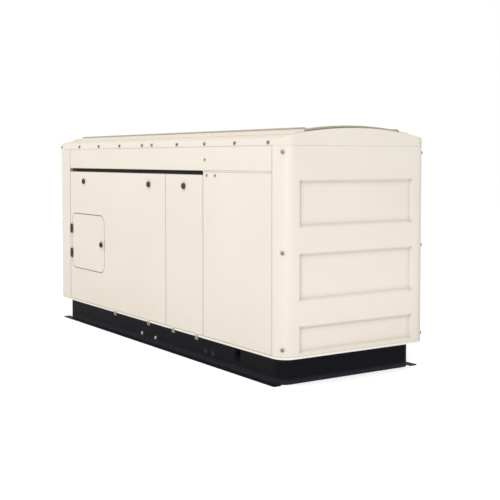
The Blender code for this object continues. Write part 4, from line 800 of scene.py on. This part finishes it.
enamel = moulded("grey_engine_enamel", "50565b", "666c71", 0.50, 0.0035, 0.0005)
bare_cast = plated("sand_cast_aluminium", "8a8d90", "a9acae", 0.52, 0.0022)
browned = moulded("heat_browned_iron", "41352d", "6d5444", 0.82, 0.0030, 0.0006)
dress(enamel, "engine_block")
dress(bare_cast, "cylinder_head", "rocker_cover", "bell_housing")
dress(browned, "exhaust_manifold")
dress(black_coat, "oil_pan")
cover_low, cover_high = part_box("rocker_cover")
manifold_low, manifold_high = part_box("exhaust_manifold")
pan_low, pan_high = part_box("oil_pan")
shapes = bmesh.new()
for x in spread(cover_low.x, cover_high.x, 0.030, 5):
    for side in (-1, 1):
        add_hex_screw(shapes, (x, side * COVER_SCREW_Y, cover_high.z), (0, 0, 1), size=0.8)
for x in spread(manifold_low.x, manifold_high.x, 0.045, 4):
    for z in (manifold_low.z + FLANGE_INSET, manifold_high.z - FLANGE_INSET):
        add_hex_screw(shapes, (x, manifold_high.y, z), (0, 1, 0), size=0.9)
for x in spread(pan_low.x, pan_high.x, 0.030, 6):
    for side in (-1, 1):
        place = (x, side * pan_high.y, pan_high.z - FLANGE_INSET)
        add_hex_screw(shapes, place, (0, side, 0), size=0.7)
new_piece("engine_screws", shapes, zinc, "root")


# Engine fittings in black plastic: four coil covers along the rocker cover, the oil filler cap with
# its grip, and the log of the intake manifold on the service side. Moulded, satin, finely grained.
COIL_START, COIL_PITCH, COIL_HALF = 0.085, 0.098, (0.030, 0.017)
FILLER_INSET, FILLER_Y = 0.034, 0.036
LOG_LOW, LOG_HIGH = (-0.220, -0.150, 0.634), (0.160, -0.1108, 0.696)
black_plastic = moulded("black_moulded_plastic", "17181a", "26282b", 0.46, 0.0012, 0.00015)
top = cover_high.z
shapes = bmesh.new()
for i in range(4):
    x = cover_low.x + COIL_START + i * COIL_PITCH
    add_pad(shapes, (x, 0), COIL_HALF, top - 0.001, top + 0.013, 0.005)
    plug = [(0.006, -0.004), (0.006, 0.018)]
    add_turned(shapes, (x, -COIL_HALF[1], top + 0.006), (0, -1, 0), plug, 12)
x = cover_low.x + FILLER_INSET
add_turned(shapes, (x, FILLER_Y, top), (0, 0, 1), [(0.024, 0), (0.024, 0.010), (0.021, 0.013)], 24)
add_pad(shapes, (x, FILLER_Y), (0.018, 0.004), top + 0.012, top + 0.021, 0.002)
add_block(shapes, LOG_LOW, LOG_HIGH, 0.014)
for x in (-0.180, -0.080, 0.020, 0.120):
    runner = [(0.009, -0.01), (0.009, 0.010), (0.006, 0.016)]
    add_turned(shapes, (x, LOG_LOW[1], 0.650), (0, -1, 0), runner, 16)
new_piece("engine_plastic_fittings", shapes, black_plastic, "root")


# Oil filter: a drawn steel can in the engine's grey enamel, screwed on the service side of the block,
# with flutes round its end for the spanner.
FILTER_PLACE, FILTER_RADIUS, FLUTES = (-0.060, -0.1502, 0.450), 0.038, 14
shapes = bmesh.new()
can = [(0.034, 0), (FILTER_RADIUS, 0.004), (FILTER_RADIUS, 0.074)]
can += [(0.036, 0.078), (0.034, 0.088), (0.020, 0.092)]
add_turned(shapes, FILTER_PLACE, (0, -1, 0), can, 28)
for i in range(FLUTES):
    flute = Matrix.Translation(FILTER_PLACE) @ Matrix.Rotation(2 * math.pi * i / FLUTES, 4, "Y")
    add_block(shapes, (0.0335, -0.088, -0.003), (0.0362, -0.077, 0.003), 0.001, flute)
new_piece("oil_filter", shapes, enamel, "root")


# Starter motor: a black painted steel drum bolted to the bell housing, with its solenoid on top and a
# block that joins the two.
STARTER_PLACE, STARTER_RADIUS = Vector((-0.3098, -0.196, 0.360)), 0.040
SOLENOID_PLACE = STARTER_PLACE + Vector((0.026, -0.006, 0.062))
shapes = bmesh.new()
drum = [(0.030, 0), (0.030, 0.020), (STARTER_RADIUS, 0.024), (STARTER_RADIUS, 0.150)]
drum += [(0.037, 0.156), (0.012, 0.160)]
add_turned(shapes, STARTER_PLACE, (1, 0, 0), drum, 28)
solenoid = [(0.022, 0), (0.024, 0.003), (0.024, 0.082), (0.020, 0.086)]
add_turned(shapes, SOLENOID_PLACE, (1, 0, 0), solenoid, 24)
x, y, z = SOLENOID_PLACE
add_block(shapes, (x + 0.004, y - 0.012, STARTER_PLACE.z + 0.030), (x + 0.070, y + 0.012, z - 0.010), 0.003)
new_piece("starter_motor", shapes, black_coat, "root")


# Dipstick: a bent zinc-plated tube up the service side of the block, with a ring of yellow plastic on
# the stick to pull it by.
dipstick = [(0.130, -0.158, 0.390), (0.130, -0.160, 0.500), (0.132, -0.166, 0.600), (0.140, -0.176, 0.730)]
line("dipstick_tube", dipstick, 0.0045, zinc, "root")
signal_yellow = moulded("yellow_grip_plastic", "d9a514", "e5b526", 0.45, 0.0012, 0.0001)
shapes = bmesh.new()
grip = [(0.0035, 0), (0.0035, 0.004), (0.0115, 0.004), (0.0115, 0)]
add_turned(shapes, (0.140, -0.1782, 0.741), (0, 1, 0), grip, 20, ring=True)
new_piece("dipstick_grip", shapes, signal_yellow, "root")


# Alternator: a barrel in grey enamel with cast cooling ribs along it, and a folded terminal box with a
# lid on top.
STATOR_RADIUS, SHAFT_Z, RIBS = 0.180, 0.420, 32
RIB_START, RIB_END, RIB_HALF, RIB_HEIGHT = -0.775, -0.395, 0.0025, 0.005
LID_BOTTOM, LID_TOP = 0.672, 0.682
dress(enamel, "alternator_stator")
shapes = bmesh.new()
for i in range(RIBS):
    turn = Matrix.Translation((0, 0, SHAFT_Z)) @ Matrix.Rotation(2 * math.pi * (i + 0.5) / RIBS, 4, "X")
    rib_low = (RIB_START, -RIB_HALF, STATOR_RADIUS - 0.002)
    add_block(shapes, rib_low, (RIB_END, RIB_HALF, STATOR_RADIUS + RIB_HEIGHT), 0.001, turn)
add_block(shapes, (-0.780, -0.100, 0.594), (-0.600, 0.100, LID_BOTTOM), 0.006)
add_block(shapes, (-0.784, -0.104, LID_BOTTOM), (-0.596, 0.104, LID_TOP), 0.003)
new_piece("alternator_ribs_and_terminal_box", shapes, enamel, "root")


# Mountings: four black rubber isolators carry the engine and the alternator. Bright zinc nuts on
# washers hold the engine's down, and four small screws of the same zinc hold the terminal box's lid.
MOUNT_X, MOUNT_Y, WASHER_BOTTOM, WASHER_SHEET = 0.020, 0.205, 0.3701, 0.003
shapes = bmesh.new()
for x in (-0.772, -0.608):
    for y in (-0.092, 0.092):
        add_hex_screw(shapes, (x, y, LID_TOP), (0, 0, 1), size=0.6)
for side in (-1, 1):
    washer = [(0.020, 0), (0.020, WASHER_SHEET), (0.0185, WASHER_SHEET)]
    add_turned(shapes, (MOUNT_X, side * MOUNT_Y, WASHER_BOTTOM), (0, 0, 1), washer, 24)
    add_hex_screw(shapes, (MOUNT_X, side * MOUNT_Y, 0.373), (0, 0, 1), size=1.9)
new_piece("mounting_nuts", shapes, bright_zinc, "root")
dress(rubber, "isolator_engine_front", "isolator_engine_rear")
dress(rubber, "isolator_alternator_front", "isolator_alternator_rear")


# Crankshaft and rotor: turned steel. The tool leaves fine rings round it that give a silky shine;
# they are drawn a millimetre apart, a few times as coarse as real ones, so that they show.
RINGS_PER_METRE, STREAKS_PER_METRE = 900, 6
turned_steel, tree, shader, place, tone = new_finish("turned_steel", "7d7e80", "aeb0b2", 0.32, 1.0)
along = (RINGS_PER_METRE, STREAKS_PER_METRE, STREAKS_PER_METRE)
stretch = add_node(tree, "ShaderNodeMapping", {"Scale": along}, {"Vector": place})
marks = add_node(tree, "ShaderNodeTexNoise", {"Scale": 1.0, "Detail": 2.0}, {"Vector": stretch})
tree.links.new(marks.outputs["Fac"], tone.inputs[0])
dress(turned_steel, "crankshaft_rotor")


# Cooling: a black plastic fan in a coated steel shroud, a rubber belt, and an aluminium radiator,
# brazed of flat tubes 10 mm apart with fins between them; it shows bright bars over dark gaps, and
# the dark in the gaps is painted shade.
FIN_HALF, FIN_DEPTH, TUBE_HALF, TUBE_EDGE = 0.0012, 0.001, 0.0050, (0.0010, 0.0014)
dress(black_plastic, "cooling_fan")
dress(black_coat, "fan_shroud")
dress(rubber, "fan_belt")
gap_shaded_core, tree, shader, place, tone = new_finish("radiator_core_painted_gap_shade", "a5a8aa", "2c2e30", 0.45, 1.0)
apart = add_node(tree, "ShaderNodeSeparateXYZ", (), {0: place})
across = add_node(tree, "ShaderNodeMath", {"operation": "PINGPONG", 1: FIN_HALF}, {0: apart.outputs["Y"]})
upward = add_node(tree, "ShaderNodeMath", {"operation": "PINGPONG", 1: TUBE_HALF}, {0: apart.outputs["Z"]})
fin = add_node(tree, "ShaderNodeMapRange", {"From Max": FIN_HALF}, {"Value": across})
edge = {"From Min": TUBE_EDGE[0], "From Max": TUBE_EDGE[1]}
tube = add_node(tree, "ShaderNodeMapRange", edge, {"Value": upward})
depth = add_node(tree, "ShaderNodeMath", {"operation": "MULTIPLY"}, {0: fin, 1: tube})
# The dark tone in the gaps between tubes and fins is painted shade.
tree.links.new(depth.outputs[0], tone.inputs[0])
sunk = {"Strength": 0.8, "Distance": FIN_DEPTH, "invert": True}
relief = add_node(tree, "ShaderNodeBump", sunk, {"Height": depth})
tree.links.new(relief.outputs[0], shader.inputs["Normal"])
dress(gap_shaded_core, "radiator")


# Radiator hoses: moulded EPDM, 40 mm thick, pushed on the necks of the radiator and the engine. A
# worm clamp of bright zinc holds each end, and the radiator's cap is made of the same.
HOSE_RADIUS, NECK_X = 0.020, 0.575
upper_hose = [(0.228, -0.050, 0.700), (0.300, -0.060, 0.730), (0.350, -0.090, 0.840), (0.440, -0.100, 0.935)]
upper_hose += [(0.530, -0.100, 0.955), (0.573, -0.100, 0.945), (NECK_X, -0.100, 0.912)]
lower_hose = [(0.248, -0.100, 0.400), (0.300, -0.140, 0.370), (0.340, -0.230, 0.290), (0.420, -0.255, 0.215)]
lower_hose += [(0.520, -0.250, 0.190), (0.573, -0.250, 0.195), (NECK_X, -0.250, 0.238)]
line("upper_hose", upper_hose, HOSE_RADIUS, rubber, "root")
line("lower_hose", lower_hose, HOSE_RADIUS, rubber, "root")
clamp = [(0.0203, 0), (0.0216, 0), (0.0216, 0.010), (0.0203, 0.010)]
shapes = bmesh.new()
for place, along in (
    ((NECK_X, -0.100, 0.916), (0, 0, 1)),
    ((NECK_X, -0.250, 0.224), (0, 0, 1)),
    ((0.232, -0.050, 0.702), (1, -0.1, 0.3)),
    ((0.252, -0.102, 0.398), (1, -0.5, -0.4)),
):
    add_turned(shapes, place, along, clamp, 24, ring=True)
cap = [(0.018, 0), (0.018, 0.006), (0.026, 0.008), (0.026, 0.014), (0.020, 0.018), (0.008, 0.019)]
add_turned(shapes, (NECK_X, 0.200, 0.912), (0, 0, 1), cap, 24)
new_piece("hose_clamps_and_radiator_cap", shapes, bright_zinc, "root")


# Exhaust: aluminised pipe and silencer, satin grey and straw-coloured in places from heat. Two straps
# hang the silencer on a rail that reaches out from the bulkhead.
MUFFLER_Y, MUFFLER_Z, MUFFLER_RADIUS = 0.140, 0.970, 0.085
STRAP_SHEET, STRAP_WIDTH, RAIL_START, RAIL_END = 0.002, 0.022, 0.6035, 1.060
HEAT_PATCHES_PER_METRE = 7.0
aluminised, tree, shader, place, tone = new_finish("aluminised_steel", "8f8a7f", "babab6", 0.42, 1.0)
heats = {"Scale": HEAT_PATCHES_PER_METRE, "Detail": 5.0}
heat = add_node(tree, "ShaderNodeTexNoise", heats, {"Vector": place})
tree.links.new(heat.outputs["Fac"], tone.inputs[0])
dress(aluminised, "exhaust_pipe", "muffler")


def add_band(shapes, place, radius, fit, sheet, width, steps):
    """Adds a flat band round the X axis, a little clear of what it holds."""
    inner, outer = radius + fit, radius + sheet
    band = [(inner, 0), (outer, 0), (outer, width), (inner, width)]
    add_turned(shapes, place, (1, 0, 0), band, steps, ring=True)


shapes = bmesh.new()
strap_top = MUFFLER_Z + MUFFLER_RADIUS + STRAP_SHEET
for x in (0.780, 1.020):
    add_band(shapes, (x, MUFFLER_Y, MUFFLER_Z), MUFFLER_RADIUS, 0.0003, STRAP_SHEET, STRAP_WIDTH, 48)
    add_hex_screw(shapes, (x + STRAP_WIDTH / 2, MUFFLER_Y, strap_top), (0, 0, 1), size=0.9)
rail_top = MUFFLER_Z - MUFFLER_RADIUS - STRAP_SHEET
rail = (RAIL_START, MUFFLER_Y - 0.015, rail_top - 0.018)
add_block(shapes, rail, (RAIL_END, MUFFLER_Y + 0.015, rail_top), 0.002)
foot = (RAIL_START, MUFFLER_Y - 0.035, rail_top - 0.060)
add_block(shapes, foot, (RAIL_START + 0.004, MUFFLER_Y + 0.035, rail_top + 0.01), 0.001)
new_piece("muffler_straps_and_rail", shapes, spangle, "root")


# Air cleaner: a black plastic canister held by two bright steel bands, and its rubber duct with a worm
# clamp at the mouth.
CLEANER_Y, CLEANER_Z, CLEANER_RADIUS = -0.190, 0.810, 0.070
dress(black_plastic, "air_cleaner")
dress(rubber, "intake_pipe")
shapes = bmesh.new()
for x in (-0.290, -0.110):
    add_band(shapes, (x, CLEANER_Y, CLEANER_Z), CLEANER_RADIUS, 0.0002, 0.0014, 0.014, 40)
duct_clamp = [(radius + 0.005, height) for radius, height in clamp]
add_turned(shapes, (-0.020, CLEANER_Y, CLEANER_Z), (1, 0, 0), duct_clamp, 28, ring=True)
new_piece("air_cleaner_bands", shapes, bright_zinc, "root")


# Battery: a black polypropylene case with cast lead posts and six vent plugs, held down by a bar on
# two rods. Moulded boots cover the posts.
POSTS, BOOT_HALF = ((-0.760, -0.300), (-0.940, -0.300)), 0.015
ROD_OUT, BAR_HALF, PLUG_START, PLUG_PITCH = 0.006, 0.012, 0.035, 0.038
dress(black_plastic, "battery")
battery_low, battery_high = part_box("battery")
top = battery_high.z
lead = plated("cast_lead", "6f7276", "8d9094", 0.55, 0.002)
shapes = bmesh.new()
for x, y in POSTS:
    post = [(0.012, 0), (0.0095, 0.006), (0.0085, 0.017)]
    add_turned(shapes, (x, y, top - 0.001), (0, 0, 1), post, 20)
bar_x = (battery_low.x + battery_high.x) / 2
for y in (battery_low.y - ROD_OUT, battery_high.y + ROD_OUT):
    tie_rod = [(0.004, 0), (0.004, top - battery_low.z + 0.012)]
    add_turned(shapes, (bar_x, y, battery_low.z), (0, 0, 1), tie_rod, 12)
    add_hex_screw(shapes, (bar_x, y, top + 0.004), (0, 0, 1), size=0.8)
bar_low = (bar_x - BAR_HALF, battery_low.y - 0.014, top + 0.0003)
add_block(shapes, bar_low, (bar_x + BAR_HALF, battery_high.y + 0.014, top + 0.004), 0.001)
new_piece("battery_posts_and_clamp", shapes, lead, "root")
shapes = bmesh.new()
for i in range(6):
    place = (battery_low.x + PLUG_START + i * PLUG_PITCH, battery_high.y - 0.045, top - 0.0005)
    add_turned(shapes, place, (0, 0, 1), [(0.011, 0), (0.011, 0.004), (0.009, 0.006)])
for x, y in POSTS:
    add_pad(shapes, (x, y), (BOOT_HALF, BOOT_HALF), top + 0.004, top + 0.020, 0.005)
new_piece("battery_plugs_and_boots", shapes, rubber, "root")


# Battery cables: flexible welding cable 13 mm thick, red from the plus post to the starter and black
# from the minus post to the cross member.
CABLE_RADIUS = 0.0065
red_plastic = moulded("red_moulded_plastic", "a5160f", "bd241a", 0.36, 0.0012, 0.0001)
plus_cable = [(-0.76, -0.3, 0.334), (-0.725, -0.298, 0.338), (-0.66, -0.285, 0.325), (-0.56, -0.262, 0.245)]
plus_cable += [(-0.44, -0.25, 0.225), (-0.33, -0.245, 0.3), (-0.285, -0.225, 0.395), (-0.262, -0.202, 0.424)]
line("battery_cable_plus", plus_cable, CABLE_RADIUS, red_plastic, "root")
minus_cable = [(-0.94, -0.3, 0.334), (-0.97, -0.304, 0.337), (-1.0, -0.31, 0.3), (-1.0, -0.315, 0.2)]
minus_cable += [(-0.985, -0.33, 0.14), (-0.93, -0.35, 0.135), (-0.88, -0.352, 0.134)]
line("battery_cable_minus", minus_cable, CABLE_RADIUS, rubber, "root")


# Controls: a grey powder-coated box with a black plastic controller, a breaker and a red stop button.
# The controller's display is a glossy dark window with pale bars, and nothing on it is written.
BAR_PITCH_HALF, BAR_THICK = 0.0060, 0.0015
DISPLAY_HALF, DISPLAY_BOTTOM, DISPLAY_TOP = 0.060, 0.560, 0.612
grey_coat = powder_coat("grey_powder_coat", "7c8084", "8b8f93", 0.45)
dress(grey_coat, "control_box")
dress(black_plastic, "controller", "breaker", "breaker_handle")
dress(red_plastic, "stop_button")
panel_low, panel_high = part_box("controller")
face, middle = panel_low.y, (panel_low.x + panel_high.x) / 2
window, tree, shader, place, tone = new_finish("display_window", "1b2a22", "24382d", 0.08)
apart = add_node(tree, "ShaderNodeSeparateXYZ", (), {0: place})
rows = add_node(tree, "ShaderNodeMath", {"operation": "PINGPONG", 1: BAR_PITCH_HALF}, {0: apart.outputs["Z"]})
bars = add_node(tree, "ShaderNodeMath", {"operation": "LESS_THAN", 1: BAR_THICK}, {0: rows})
tree.links.new(bars.outputs[0], tone.inputs[0])
shapes = bmesh.new()
display_low = (middle - DISPLAY_HALF, face - 0.0012, DISPLAY_BOTTOM)
add_block(shapes, display_low, (middle + DISPLAY_HALF, face + 0.0002, DISPLAY_TOP), 0.0005)
new_piece("controller_display", shapes, window, "root")


# Controller keys: five dome keys in a row under the display, moulded in grey silicone rubber and matt,
# and a small round lamp at each side of the display.
KEYS_X, KEY_PITCH, KEYS_Z, LAMP_OUT, LAMP_Z = -0.072, 0.036, 0.515, 0.080, 0.590
key_rubber = moulded("grey_key_rubber", "6b6e71", "7a7d80", 0.60, 0.0010, 0.0001)
shapes = bmesh.new()
dome = [(0.0110, -0.0002), (0.0110, 0.0008), (0.0090, 0.0020), (0.0040, 0.0025)]
for i in range(5):
    add_turned(shapes, (middle + KEYS_X + i * KEY_PITCH, face, KEYS_Z), (0, -1, 0), dome, 24)
for x in (middle - LAMP_OUT, middle + LAMP_OUT):
    add_turned(shapes, (x, face, LAMP_Z), (0, -1, 0), [(0.004, -0.0002), (0.004, 0.001), (0.002, 0.002)], 16)
new_piece("controller_keys", shapes, key_rubber, "root")


# Stop button collar: a ring of yellow moulded plastic, snapped on the face of the control box round
# the red button, with a chamfered rim.
button_low, button_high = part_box("stop_button")
box_low, box_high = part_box("control_box")
place = ((button_low.x + button_high.x) / 2, box_low.y, (button_low.z + button_high.z) / 2)
shapes = bmesh.new()
collar = [(0.0215, 0.0003), (0.0270, 0.0003), (0.0270, 0.0040), (0.0245, 0.0058), (0.0215, 0.0058)]
add_turned(shapes, place, (0, -1, 0), collar, 40, ring=True)
new_piece("stop_button_collar", shapes, signal_yellow, "root")


# Power conduit: flexible black plastic tube, 28 mm thick, from the side of the terminal box down to
# the control box.
conduit = [(-0.700, -0.098, 0.640), (-0.700, -0.130, 0.642), (-0.720, -0.165, 0.630), (-0.740, -0.190, 0.590)]
conduit += [(-0.750, -0.204, 0.560), (-0.750, -0.206, 0.540)]
line("power_conduit", conduit, 0.014, black_plastic, "root")


low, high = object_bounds()
